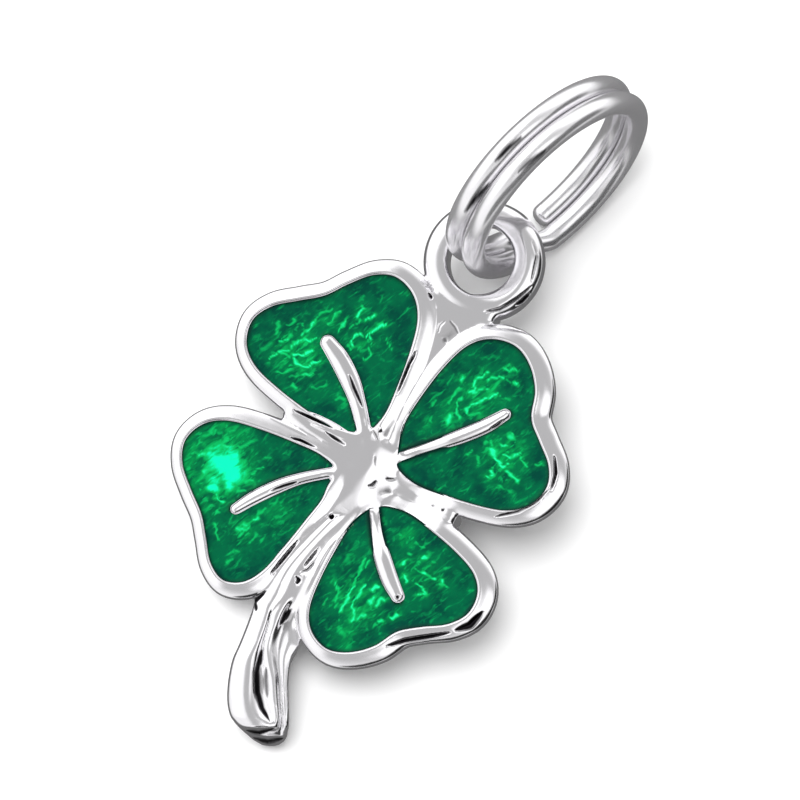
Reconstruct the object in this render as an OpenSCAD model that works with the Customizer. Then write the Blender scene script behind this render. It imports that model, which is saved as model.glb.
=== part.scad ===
// Four leaf clover pendant: a cast silver clover with a raised rim and vein on
// each leaf, green enamel in the leaves, a grooved stem, a thick bail loop and
// a split ring threaded through the loop.
// Lengths are millimetres. The pendant lies on its back on the floor z = 0,
// touching it at the stem's end, at a leaf's back edge and at the ring.
// +Y runs from the stem to the ring. Each part is first laid out flat, with
// the middle of the clover at the origin and its back on z = 0.

/* [Clover] */
// Distance from the middle of the clover to the top of a leaf's enamel
leaf_reach = 4.45; // [3.9:0.05:5.6]
// Thickness of the casting from its back to the crest of the rims
plate_height = 1.3; // [1.15:0.05:1.8]
// Width of the round rim outside each enamel field
rim_width = 0.4; // [0.32:0.02:0.52]
// Width of a vein where it is broadest
vein_width = 0.37; // [0.27:0.02:0.45]
// Radius of the smooth boss in the middle
hub_radius = 0.67; // [0.55:0.02:0.75]

/* [Enamel] */
// Depth of the enamel's face under the crest of the rims
enamel_recess = 0.26; // [0.12:0.02:0.36]
// Thickness of the enamel
enamel_thickness = 0.4; // [0.3:0.02:0.5]
// Space between the enamel and the silver
enamel_gap = 0.02; // [0.015:0.005:0.04]

/* [Stem] */
// Distance from the middle of the clover to the end of the stem
stem_reach = 7.28; // [6.6:0.02:9]
// Width of the broad ridge of the stem
ridge_width = 0.61; // [0.49:0.02:0.71]

/* [Bail loop] */
// Radial thickness of the loop
loop_wall = 0.58; // [0.44:0.02:0.8]
// Thickness of the loop from front to back
loop_height = 1.2; // [0.9:0.05:1.5]
// Space in the loop's hole beyond the two turns of the ring
loop_play = 0.62; // [0.56:0.02:0.9]

/* [Split ring] */
// Outside diameter of the split ring
ring_outer = 6; // [5.4:0.1:8]
// Diameter of the ring's wire
ring_wire = 0.58; // [0.46:0.02:0.66]
// Space between the two turns
turn_gap = 0.02; // [0.015:0.005:0.05]
// Turn of the ring's plane from +Y, clockwise from above
ring_heading = 15; // [0:1:30]
// Lean of the ring from upright
ring_lean = 9.5; // [0:0.5:12]
// Height of the ring's centre above the middle of the loop
ring_lift = 0.85; // [0.6:0.05:1.1]

/* [Hidden] */

silver = [0.83, 0.83, 0.85];
green = [0.0, 0.42, 0.22];

enamel_top = plate_height - enamel_recess;
pocket_floor = enamel_top - enamel_thickness - enamel_gap;
turn_pitch = ring_wire + turn_gap;
loop_bore = turn_pitch + ring_wire + loop_play;
loop_mid = loop_bore / 2 + loop_wall / 2;
loop_outer = loop_bore / 2 + loop_wall;
loop_x = -0.044 * leaf_reach;
loop_y = 0.98 * leaf_reach + loop_outer;
loop_z = loop_height / 2;
ring_mid = (ring_outer - ring_wire) / 2;

// Half outline of a leaf's enamel, from its tip at the hub to its notch.
// Columns: share of the way from the tip to the top, share of leaf_reach
// to the side.
HALF_LEAF = [[0.006, 0.056], [0.08, 0.159], [0.216, 0.257], [0.43, 0.383],
             [0.63, 0.468], [0.8, 0.474], [0.944, 0.405], [1, 0.285],
             [0.987, 0.14]];

// The leaves. Their columns: direction in degrees clockwise from +Y, then as
// shares of leaf_reach the tip on the left and right, the top on the left and
// right and the notch; width of the left and right side; how much straighter
// the left and right flank is; where the vein ends, as a share of leaf_reach;
// the vein's width; and, as shares of leaf_reach, how far the vein's bend and
// its end lie to the right.
COLUMNS = ["direction", "tip l", "tip r", "top l", "top r", "notch", "width l",
           "width r", "flank l", "flank r", "vein end", "vein size", "vein bend",
           "vein tip"];
UPPER_LEFT = [-45.5, 0.218, 0.196, 1.024, 1.037, 1.001, 1.05, 1.03, 0.1, 0.08,
              0.745, 1.17, 0.024, -0.05];
RIGHT = [43.4, 0.182, 0.147, 1.01, 0.954, 0.936, 1.02, 0.98, -0.1, 0.04,
         0.805, 0.9, -0.018, -0.066];
BOTTOM = [140.4, 0.232, 0.232, 0.938, 0.998, 0.931, 1.005, 1, 0, 0.04,
          0.74, 1.02, 0.024, -0.036];
LEFT = [-134.9, 0.252, 0.187, 0.997, 1.011, 0.979, 0.98, 1.05, 0.36, 0.14,
        0.79, 0.84, 0.045, -0.024];
LEAVES = [UPPER_LEFT, RIGHT, BOTTOM, LEFT];
function of(leaf, name) = leaf[[for (i = [0 : len(COLUMNS) - 1]) if (COLUMNS[i] == name) i][0]];

// Section of a leaf's rim, from the back edge over the crest and down to the
// pocket's floor. Columns: share of rim_width outside the enamel's edge,
// share of the height between the back and the crest. RIM_LEAN is the side,
// across and up the clover, on which the rims were filed less and are wider.
RIM_LEAN = [0.21, 0.11];
RIM_SECTION = [[0.5, 0], [0.74, 0.12], [0.97, 0.38], [1, 0.6], [0.94, 0.8],
               [0.72, 0.95], [0.42, 1], [0.12, 0.94], [0, 0.83]];

// A vein, from the hub to its end. Columns: share of the vein's length, how
// much of its bend and of its tip's offset it has there, share of vein_width.
VEIN = [[0.1, 0.3, 0, 0.9], [0.33, 0.8, 0, 0.8], [0.5, 1, 0, 0.84], [0.66, 0.9, 0.1, 1],
        [0.85, 0.5, 0.45, 1], [1, 0, 1, 0.78]];

// Outline of the stem's lower plate. Columns: shares of stem_reach to the
// side and down from the middle of the clover.
STEM_PLATE = [[-0.015, 0.239], [-0.067, 0.358], [-0.082, 0.493], [-0.09, 0.612],
              [-0.085, 0.707], [-0.066, 0.812], [-0.031, 0.907], [0.012, 0.967],
              [0.082, 0.996], [0.149, 1], [0.199, 0.966], [0.212, 0.91],
              [0.182, 0.851], [0.146, 0.799], [0.119, 0.739], [0.104, 0.687],
              [0.107, 0.642], [0.067, 0.59], [0.03, 0.493], [0.015, 0.358]];

// Ridges of the stem. Columns: shares of stem_reach to the side and down,
// share of ridge_width, share of plate_height.
BROAD_RIDGE = [[-0.022, 0.2, 0.45, 0.88], [-0.048, 0.388, 0.54, 0.92],
               [-0.063, 0.493, 0.68, 0.92], [-0.067, 0.612, 0.8, 0.92],
               [-0.046, 0.731, 0.96, 0.96], [-0.015, 0.845, 1, 0.96],
               [0.045, 0.928, 1, 0.92], [0.093, 0.945, 0.8, 0.84],
               [0.152, 0.918, 0.36, 0.76]];
THIN_RIDGE = [[-0.015, 0.433, 0.45, 0.88], [-0.019, 0.537, 0.71, 0.88],
              [-0.004, 0.657, 0.61, 0.88], [0.057, 0.754, 0.57, 0.88],
              [0.125, 0.851, 0.46, 0.84], [0.16, 0.91, 0.36, 0.76]];
FLANGE = [[0.093, 0.649, 0.45, 0.64], [0.093, 0.716, 0.39, 0.6],
          [0.128, 0.799, 0.39, 0.58], [0.179, 0.873, 0.46, 0.6],
          [0.187, 0.94, 0.54, 0.64], [0.127, 0.97, 0.54, 0.6]];

// Web from the hub to the loop, between the two upper leaves. Columns:
// share of leaf_reach to the side, share of the way to the loop's wall.
WEB = [[0, 0.1], [0.035, 0.5], [0.1, 0.8], [0.2, 1], [-0.2, 1], [-0.1, 0.8], [-0.028, 0.5]];
// Webs between the other leaves. Columns: direction in degrees clockwise from
// +Y, shares of leaf_reach outwards and half across, share of plate_height.
GAP_WEBS = [[-90.3, 0.56, 0.055, 0.7], [92, 0.55, 0.057, 0.715], [183, 0.6, 0.07, 0.73]];

function closed_spline(pts, steps) = [
    for (i = [0 : len(pts) - 1], j = [0 : steps - 1])
        let (n = len(pts), u = j / steps, a = pts[(i + n - 1) % n], b = pts[i],
             c = pts[(i + 1) % n], d = pts[(i + 2) % n])
        0.5 * (2 * b + (c - a) * u + (2 * a - 5 * b + 4 * c - d) * u * u
               + (3 * b - a - 3 * c + d) * u * u * u)];

// Points of a counter-clockwise outline, moved outwards and set at a height.
// lean is the side on which they move further, as a share of out.
function ring_at(outline, out, z, lean = [0, 0]) = [
    for (i = [0 : len(outline) - 1])
        let (n = len(outline), t = outline[(i + 1) % n] - outline[(i + n - 1) % n],
             m = [t[1], -t[0]] / norm(t), o = out * (1 + lean * m))
        [outline[i][0] + o * m[0], outline[i][1] + o * m[1], z]];

function flat(points) = [for (p = points) [p[0], p[1]]];

function leaf_points(leaf) = leaf_reach * concat(
    [[0, (of(leaf, "tip l") + of(leaf, "tip r")) / 2]],
    [for (h = HALF_LEAF)
        [h[1] * of(leaf, "width r") * (1 - of(leaf, "flank r") * (1 - h[0])),
         of(leaf, "tip r") + (of(leaf, "top r") - of(leaf, "tip r")) * h[0]]],
    [[0, of(leaf, "notch")]],
    [for (k = [len(HALF_LEAF) - 1 : -1 : 0]) let (h = HALF_LEAF[k])
        [-h[1] * of(leaf, "width l") * (1 - of(leaf, "flank l") * (1 - h[0])),
         of(leaf, "tip l") + (of(leaf, "top l") - of(leaf, "tip l")) * h[0]]]);

function leaf_outline(leaf) = closed_spline(leaf_points(leaf), 2);

// The rim's ring of points at a row of its section, in the leaf's own frame
function rim_ring(leaf, row) = let (a = of(leaf, "direction"))
    ring_at(leaf_outline(leaf), row[0] * rim_width, row[1] * plate_height,
            [RIM_LEAN[0] * cos(a) - RIM_LEAN[1] * sin(a),
             RIM_LEAN[0] * sin(a) + RIM_LEAN[1] * cos(a)]);

function vein_point(leaf, row) =
    [(row[1] * of(leaf, "vein bend") + row[2] * of(leaf, "vein tip")) * leaf_reach,
     row[0] * of(leaf, "vein end") * leaf_reach];
function vein_size(leaf, row) = row[3] * of(leaf, "vein size") * vein_width;

// A closed solid through rings of points, lowest ring first on the outside
module loft(rings) {
    n = len(rings[0]);
    last = len(rings) - 1;
    polyhedron(
        points = [for (r = rings) each r],
        faces = concat(
            [[for (i = [0 : n - 1]) i]],
            [for (k = [0 : last - 1], i = [0 : n - 1], half = [0, 1])
                let (j = (i + 1) % n)
                half == 0 ? [k * n + i, (k + 1) * n + i, (k + 1) * n + j]
                          : [k * n + i, (k + 1) * n + j, k * n + j]],
            [[for (i = [n - 1 : -1 : 0]) last * n + i]]));
}

module at_leaf(leaf) {
    rotate([0, 0, -of(leaf, "direction")]) children();
}

module leaf_shell(leaf) {
    outline = leaf_outline(leaf);
    loft(concat(
        [for (s = RIM_SECTION) rim_ring(leaf, s)],
        [ring_at(outline, 0, pocket_floor)]));
}

// A round-topped post, the end of a piece of ridge
module post(x, y, w, foot, top) {
    translate([x, y, top - w / 2]) sphere(d = w, $fn = 10);
    translate([x, y, foot]) cylinder(d = w, h = top - w / 2 - foot, $fn = 10);
}

module vein(leaf) {
    for (k = [0 : len(VEIN) - 2])
        hull() for (row = [VEIN[k], VEIN[k + 1]])
            let (p = vein_point(leaf, row))
                post(p[0], p[1], vein_size(leaf, row), pocket_floor - 0.08 * plate_height,
                     0.992 * plate_height);
}

module ridge(rows, foot) {
    for (k = [0 : len(rows) - 2])
        hull() for (row = [rows[k], rows[k + 1]])
            post(row[0] * stem_reach, -row[1] * stem_reach, row[2] * ridge_width,
                 foot, row[3] * plate_height);
}

// The stem's back lies a hair above the leaves' backs
stem_back_z = 0.008 * plate_height;

module stem() {
    outline = closed_spline([for (p = STEM_PLATE)
        [p[0] * stem_reach, -p[1] * stem_reach]], 2);
    loft([ring_at(outline, -0.25 * rim_width, stem_back_z),
          ring_at(outline, -0.05 * rim_width, 0.14 * plate_height),
          ring_at(outline, 0, 0.26 * plate_height),
          ring_at(outline, -0.12 * rim_width, 0.36 * plate_height)]);
    ridge(BROAD_RIDGE, 0.2 * plate_height);
    ridge(THIN_RIDGE, 0.18 * plate_height);
    ridge(FLANGE, 0.16 * plate_height);
}

module web() {
    wall_y = loop_y - loop_mid;
    translate([0, 0, 0.023 * plate_height]) linear_extrude(0.607 * plate_height)
        polygon([for (p = WEB) [p[0] * leaf_reach + loop_x * pow(p[1], 2), p[1] * wall_y]]);
}

module gap_webs() {
    // Each web's faces lie at their own height, clear of the others'
    for (k = [0 : len(GAP_WEBS) - 1])
        let (g = GAP_WEBS[k], foot = (0.03 + 0.008 * k) * plate_height)
        rotate([0, 0, -g[0]]) translate([0, 0, foot])
        linear_extrude(g[3] * plate_height - foot)
            polygon(leaf_reach * [[-g[2] / 2, 0], [g[2] / 2, 0], [g[2], g[1]],
                                  [0, g[1] - 0.8 * g[2]], [-g[2], g[1]]]);
}

// The boss stays clear of the enamel's tips however wide it is asked to be
hub_edge = min(hub_radius, 0.148 * leaf_reach);

module hub() {
    rotate_extrude($fn = 24) polygon([
        [0, 0.015 * plate_height], [hub_edge, 0.015 * plate_height], [hub_edge, 0.87 * plate_height],
        [0.92 * hub_edge, 0.965 * plate_height], [0.66 * hub_edge, 1.015 * plate_height],
        [0.3 * hub_edge, 1.04 * plate_height], [0, 1.05 * plate_height]]);
}

module loop() {
    translate([loop_x, loop_y, loop_z]) rotate_extrude($fn = 32)
        translate([loop_mid, 0]) scale([loop_wall / loop_height, 1])
            circle(d = loop_height, $fn = 12);
}

module casting() {
    union() {
        for (leaf = LEAVES) at_leaf(leaf) {
            leaf_shell(leaf);
            vein(leaf);
        }
        hub();
        web();
        gap_webs();
        stem();
        loop();
    }
}

module enamel(leaf) {
    edge = flat(ring_at(leaf_outline(leaf), -enamel_gap, 0));
    translate([0, 0, pocket_floor + enamel_gap])
        linear_extrude(enamel_top - pocket_floor - enamel_gap)
            at_leaf(leaf) difference() {
                polygon(edge);
                for (k = [0 : len(VEIN) - 2])
                    hull() for (row = [VEIN[k], VEIN[k + 1]])
                        translate(vein_point(leaf, row))
                            circle(d = vein_size(leaf, row) + 2 * enamel_gap, $fn = 10);
            }
}

// The ring: its axis, the direction of its far side and its own up
ring_axis = [cos(ring_heading) * cos(ring_lean), -sin(ring_heading) * cos(ring_lean),
             sin(ring_lean)];
ring_out = [sin(ring_heading), cos(ring_heading), 0];
ring_up = cross(ring_axis, ring_out);
// Where the ring crosses the middle plane of the loop, and its centre
cross_angle = 180 + asin(ring_lift / ring_mid / cos(ring_lean));
cross_point = [loop_x - 0.224 * ring_wire, loop_y + 0.034 * ring_wire, loop_z];
ring_centre = cross_point - ring_mid * (cos(cross_angle) * ring_out
                                        + sin(cross_angle) * ring_up);

// The wire starts at a cut end on the far turn, runs round, steps over to the
// near turn beside its own start and runs round again. Angles in degrees.
wire_start = 251;
step_span = 26;
end_gap = 1.5;
wire_turns = 720 - step_span - 2 * end_gap;
function smooth(t) = t <= 0 ? 0 : t >= 1 ? 1 : t * t * (3 - 2 * t);
function wire_side(t) = turn_pitch * (smooth((t - (360 - step_span - end_gap)) / step_span) - 0.5);

module split_wire() {
    sides = 10;
    count = 128;
    path = [for (k = [0 : count]) let (t = wire_turns * k / count, a = wire_start + t)
        ring_centre + ring_mid * (cos(a) * ring_out + sin(a) * ring_up)
            + wire_side(t) * ring_axis];
    function round_at(k, d, back) = let (
        a = wire_start + wire_turns * k / count,
        radial = cos(a) * ring_out + sin(a) * ring_up,
        along = cos(a) * ring_up - sin(a) * ring_out)
        [for (j = [0 : sides - 1]) let (b = -360 * j / sides)
            path[k] + d / 2 * (cos(b) * radial + sin(b) * ring_axis) + back * along];
    loft(concat(
        [for (k = [0 : count]) round_at(k, ring_wire, 0)]));
}

// The resting plane through the stem's end, a leaf's back edge and the ring
function lowest(points, up) = [for (p = points) if (p * up <= min([for (q = points) q * up])
    + 0.000001) p][0];
function turned(points, angle) = [for (p = points)
    [p[0] * cos(angle) - p[1] * sin(angle), p[0] * sin(angle) + p[1] * cos(angle), p[2]]];
stem_back = ring_at(closed_spline([for (p = STEM_PLATE)
    [p[0] * stem_reach, -p[1] * stem_reach]], 2), -0.25 * rim_width, stem_back_z);
leaf_backs = [for (leaf = LEAVES)
    each turned(rim_ring(leaf, RIM_SECTION[0]), -of(leaf, "direction"))];
function ring_low(up) = let (
    in_plane = up - (up * ring_axis) * ring_axis,
    side = up * ring_axis > 0 ? -1 : 1)
    ring_centre - ring_mid * in_plane / norm(in_plane)
        + side * turn_pitch / 2 * ring_axis - ring_wire / 2 * up;
function plane_up(a, b, c) = let (m = cross(b - a, c - a)) m / norm(m) * sign(m[2]);
function rest_up(up, rounds) = rounds == 0 ? up :
    rest_up(plane_up(lowest(stem_back, up), ring_low(up), lowest(leaf_backs, up)),
            rounds - 1);
level = rest_up([0.12, 0.11, 0.98], 6);
floor_gap = lowest(stem_back, level) * level;
tip_x = atan2(level[1], level[2]);
tip_y = -atan2(level[0], norm([level[1], level[2]]));

// The posed pendant's extent, to set the origin under the middle of its box
function posed(p) = let (y = p[1] * cos(tip_x) - p[2] * sin(tip_x),
                         z = p[1] * sin(tip_x) + p[2] * cos(tip_x))
    [p[0] * cos(tip_y) + z * sin(tip_y), y, z * cos(tip_y) - p[0] * sin(tip_y)];
leaf_sides = [for (leaf = LEAVES)
    each turned(rim_ring(leaf, [1, 0.5]), -of(leaf, "direction"))];
side_x = [for (p = leaf_sides) posed(p)[0]];
posed_axis = posed(ring_axis);
far_y = posed(ring_centre)[1] + ring_mid * sqrt(1 - pow(posed_axis[1], 2))
    + turn_pitch / 2 * abs(posed_axis[1]) + ring_wire / 2;
near_y = min([for (p = stem_back) posed([p[0], p[1], 0.26 * plate_height])[1]]) - 0.25 * rim_width;
shift = [-(min(side_x) + max(side_x)) / 2, -(near_y + far_y) / 2, -floor_gap];

module laid() {
    translate(shift) rotate([tip_x, tip_y, 0]) children();
}

module cast_frame() {
    color(silver) laid() casting();
}
module enamel_upper_left() {
    color(green) laid() enamel(UPPER_LEFT);
}
module enamel_right() {
    color(green) laid() enamel(RIGHT);
}
module enamel_bottom() {
    color(green) laid() enamel(BOTTOM);
}
module enamel_left() {
    color(green) laid() enamel(LEFT);
}
module split_ring() {
    color(silver) laid() split_wire();
}

cast_frame();
enamel_upper_left();
enamel_right();
enamel_bottom();
enamel_left();
split_ring();
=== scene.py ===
"""Four leaf clover pendant: cast silver with green enamel, a bail loop and a split ring.

Every piece is first modelled flat and in millimetres, with the middle of the clover at the
origin and its back on z = 0, exactly as the solids are laid out. Then it is laid down on the
floor, in metres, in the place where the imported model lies.
"""

import logging
import math
from collections.abc import Sequence
from dataclasses import dataclass, field
from enum import Enum

import bmesh
import bpy
import numpy as np
from mathutils import Matrix, Vector


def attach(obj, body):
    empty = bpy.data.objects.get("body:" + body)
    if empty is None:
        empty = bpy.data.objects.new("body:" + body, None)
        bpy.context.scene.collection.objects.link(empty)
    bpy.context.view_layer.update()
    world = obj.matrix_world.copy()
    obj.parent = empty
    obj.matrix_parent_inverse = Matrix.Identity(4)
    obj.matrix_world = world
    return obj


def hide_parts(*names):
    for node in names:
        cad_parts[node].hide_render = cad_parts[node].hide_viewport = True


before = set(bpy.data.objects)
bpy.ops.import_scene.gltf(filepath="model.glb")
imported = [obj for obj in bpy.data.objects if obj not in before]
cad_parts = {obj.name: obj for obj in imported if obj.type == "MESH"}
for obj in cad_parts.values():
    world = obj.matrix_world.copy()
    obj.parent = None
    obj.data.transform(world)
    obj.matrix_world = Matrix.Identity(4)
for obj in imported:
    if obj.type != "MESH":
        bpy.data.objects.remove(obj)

LOG = logging.getLogger("clover")
MM = 0.001

Row = tuple[float, ...]
Pixel = tuple[float, float]
Spot = tuple[float, float, float, float]
Colour = tuple[float, float, float]


def cos_sin(degrees: float) -> tuple[float, float]:
    """Cosine and sine of an angle in degrees."""
    angle = math.radians(degrees)
    return math.cos(angle), math.sin(angle)


def heading(start: Sequence[float], stop: Sequence[float]) -> Vector:
    """The level direction from one point to another."""
    return Vector((stop[0] - start[0], stop[1] - start[1])).normalized()


def heading_at(rows: Sequence[Sequence[float]], i: int) -> Vector:
    """The level direction of an open line at one of its points."""
    return heading(rows[max(0, i - 1)], rows[min(len(rows) - 1, i + 1)])


class LeafPlace(Enum):
    """The four leaves, named by where each is in the photograph's view."""

    UPPER_LEFT = "upper_left"
    RIGHT = "right"
    BOTTOM = "bottom"
    LEFT = "left"

    @property
    def node(self) -> str:
        """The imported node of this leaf's enamel."""
        return f"enamel_{self.value}"


class Slot(Enum):
    """The record's material slots."""

    SILVER = "silver"
    ENAMEL = "green_enamel"
    WIRE = "ring_wire"


@dataclass(frozen=True)
class LeafForm:
    """One leaf: its direction in degrees, then shares of the clover's leaf_reach."""

    direction: float
    tip_l: float
    tip_r: float
    top_l: float
    top_r: float
    notch: float
    width_l: float
    width_r: float
    flank_l: float
    flank_r: float
    vein_end: float
    vein_size: float
    vein_bend: float
    vein_tip: float

    def to_flat(self, point: Sequence[float]) -> Vector:
        """Turns a point of the leaf's own frame into the clover's flat frame."""
        c, s = cos_sin(-self.direction)
        x, y = point[0], point[1]
        z = point[2] if len(point) > 2 else 0.0
        return Vector((x * c - y * s, x * s + y * c, z))


FORMS: dict[LeafPlace, LeafForm] = {
    LeafPlace.UPPER_LEFT: LeafForm(-45.5, 0.218, 0.196, 1.024, 1.037, 1.001, 1.05, 1.03,
                                   0.1, 0.08, 0.745, 1.17, 0.024, -0.05),
    LeafPlace.RIGHT: LeafForm(43.4, 0.182, 0.147, 1.01, 0.954, 0.936, 1.02, 0.98,
                              -0.1, 0.04, 0.805, 0.9, -0.018, -0.066),
    LeafPlace.BOTTOM: LeafForm(140.4, 0.232, 0.232, 0.938, 0.998, 0.931, 1.005, 1.0,
                               0.0, 0.04, 0.74, 1.02, 0.024, -0.036),
    LeafPlace.LEFT: LeafForm(-134.9, 0.252, 0.187, 0.997, 1.011, 0.979, 0.98, 1.05,
                             0.36, 0.14, 0.79, 0.84, 0.045, -0.024),
}


@dataclass(frozen=True)
class Sizes:
    """The clover's named sizes in millimetres, the same as the solids have."""

    leaf_reach: float = 4.45
    plate_height: float = 1.3
    rim_width: float = 0.4
    vein_width: float = 0.37
    hub_radius: float = 0.66
    enamel_recess: float = 0.26
    enamel_thickness: float = 0.4
    loop_wall: float = 0.58
    loop_height: float = 1.2
    loop_bore: float = 1.8
    ring_mid: float = 2.71
    ring_wire: float = 0.58
    turn_pitch: float = 0.6
    rim_lean: tuple[float, float] = (0.21, 0.11)

    @property
    def enamel_top(self) -> float:
        """Height of the enamel's face."""
        return self.plate_height - self.enamel_recess

    @property
    def pocket_floor(self) -> float:
        """Height of the floor that the enamel lies on."""
        return self.enamel_top - self.enamel_thickness - 0.02

    @property
    def loop_centre(self) -> Vector:
        """Middle of the bail loop."""
        return Vector((-0.044 * self.leaf_reach,
                       0.98 * self.leaf_reach + self.loop_bore / 2 + self.loop_wall,
                       self.loop_height / 2))


@dataclass(frozen=True)
class Lie:
    """How the flat clover is laid on the floor: two tips in degrees and a shift in mm."""

    tip_x: float = 5.88475
    tip_y: float = -6.03383
    shift: tuple[float, float, float] = (0.186113, -1.93771, 0.683813)

    @property
    def turn(self) -> Matrix:
        """The turn alone, which also takes directions."""
        return (Matrix.Rotation(math.radians(self.tip_y), 4, "Y")
                @ Matrix.Rotation(math.radians(self.tip_x), 4, "X"))

    @property
    def matrix(self) -> Matrix:
        """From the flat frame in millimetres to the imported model's frame in metres."""
        return Matrix.Scale(MM, 4) @ Matrix.Translation(self.shift) @ self.turn

    def lay_down(self, piece: bpy.types.Object) -> None:
        """Puts a finished piece in its place, in its mesh, with its object at the origin."""
        piece.data.transform(self.matrix)
        piece.data.update()


SIZES = Sizes()
LIE = Lie()


@dataclass(frozen=True)
class PictureView:
    """The photograph's view of the flat clover: points in its pixels, and lengths in mm."""

    per_mm: float = 40.5
    middle: tuple[float, float] = (370.0, 467.0)
    side: float = 15.0
    lean: float = 10.0
    turn: float = 45.0

    def axes(self) -> tuple[Vector, Vector, Vector]:
        """The picture's right and up and the way back to the camera, in the flat frame."""
        side_c, side_s = cos_sin(self.side)
        lean_c, lean_s = cos_sin(self.lean)
        turn_c, turn_s = cos_sin(self.turn)
        low_right = Vector((side_c, -side_s, 0))
        up_right = Vector((side_s, side_c, 0))
        normal = Vector((0, 0, 1))
        back = normal * lean_c + low_right * lean_s
        across = low_right * lean_c - normal * lean_s
        right = across * turn_c + up_right * turn_s
        up = up_right * turn_c - across * turn_s
        return right, up, back

    def at(self, x: float, y: float, height: float) -> Vector:
        """The point that the picture shows at a pixel, at a height above the back in mm."""
        right, up, _ = self.axes()
        over = height - SIZES.plate_height
        r = (x - self.middle[0]) / self.per_mm - right.z * over
        u = (self.middle[1] - y) / self.per_mm - up.z * over
        part = right.x * up.y - right.y * up.x
        return Vector(((r * up.y - u * right.y) / part, (u * right.x - r * up.x) / part, height))

    def pixels(self, points: np.ndarray) -> np.ndarray:
        """Where the picture shows points of the flat frame."""
        right, up, _ = self.axes()
        shifted = points - np.array((0.0, 0.0, SIZES.plate_height))
        return np.stack((self.middle[0] + self.per_mm * shifted @ np.array(right),
                         self.middle[1] - self.per_mm * shifted @ np.array(up)), axis=1)


VIEW = PictureView()


# Short helpers for meshes and for curves through short tables

def read_vectors(mesh: bpy.types.Mesh, key: str) -> np.ndarray:
    """One of the vectors of each of a mesh's vertices, such as its place."""
    values = np.empty(len(mesh.vertices) * 3)
    mesh.vertices.foreach_get(key, values)
    return values.reshape(-1, 3)


def store(mesh: bpy.types.Mesh, name: str, values: np.ndarray) -> None:
    """Stores a number or a vector for each vertex on the mesh, for its material."""
    vectors = values.ndim > 1
    layer = mesh.attributes.new(name, "FLOAT_VECTOR" if vectors else "FLOAT", "POINT")
    layer.data.foreach_set("vector" if vectors else "value", values.ravel())


def smooth_step(share: float) -> float:
    """A smooth ramp from 0 to 1."""
    t = min(1.0, max(0.0, share))
    return t * t * (3 - 2 * t)


def spline_at(a: Sequence[float], b: Sequence[float], c: Sequence[float],
              d: Sequence[float], u: float) -> Row:
    """A point of the curve from b to c whose neighbours are a and d."""
    return tuple(0.5 * (2 * q + (r - p) * u + (2 * p - 5 * q + 4 * r - s) * u * u
                        + (3 * q - p - 3 * r + s) * u ** 3)
                 for p, q, r, s in zip(a, b, c, d))


def closed_spline(rows: Sequence[Row], steps: int) -> list[Row]:
    """A closed curve through all the rows, with so many steps from one to the next."""
    count = len(rows)
    return [spline_at(rows[i - 1], rows[i], rows[(i + 1) % count], rows[(i + 2) % count],
                      j / steps)
            for i in range(count) for j in range(steps)]


def open_spline(rows: Sequence[Row], steps: int) -> list[Row]:
    """An open curve through all the rows, its ends included."""
    first = tuple(2 * p - q for p, q in zip(rows[0], rows[1]))
    last = tuple(2 * p - q for p, q in zip(rows[-1], rows[-2]))
    line = [first, *rows, last]
    points = [spline_at(*line[i:i + 4], j / steps)
              for i in range(len(rows) - 1) for j in range(steps)]
    return [*points, tuple(rows[-1])]


def moved_out(outline: Sequence[Row], out: float, height: float,
              lean: tuple[float, float] = (0.0, 0.0)) -> list[Vector]:
    """Moves the points of a counter-clockwise outline outwards and sets their height.

    Args:
        outline: points, of which the first two columns are used.
        out: how far they move.
        height: the height that they get.
        lean: the side on which they move further, as a share of out.

    Returns:
        The moved points.
    """
    moved = []
    for i, point in enumerate(outline):
        along = heading(outline[i - 1], outline[(i + 1) % len(outline)])
        side = Vector((along.y, -along.x))
        step = out * (1 + lean[0] * side.x + lean[1] * side.y)
        moved.append(Vector((point[0] + step * side.x, point[1] + step * side.y, height)))
    return moved


# The tables of the leaves, in shares of leaf_reach

HALF_LEAF: list[Row] = [(0.006, 0.056), (0.08, 0.159), (0.216, 0.257), (0.43, 0.383),
                        (0.63, 0.468), (0.8, 0.474), (0.944, 0.405), (1.0, 0.285),
                        (0.987, 0.14)]
# Share of the vein's length, of its bend, of its tip's offset, and of vein_width
VEIN: list[Row] = [(0.1, 0.3, 0.0, 0.9), (0.33, 0.8, 0.0, 0.8), (0.5, 1.0, 0.0, 0.84),
                   (0.66, 0.9, 0.1, 1.0), (0.85, 0.5, 0.45, 1.0), (1.0, 0.0, 1.0, 0.78)]


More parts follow.
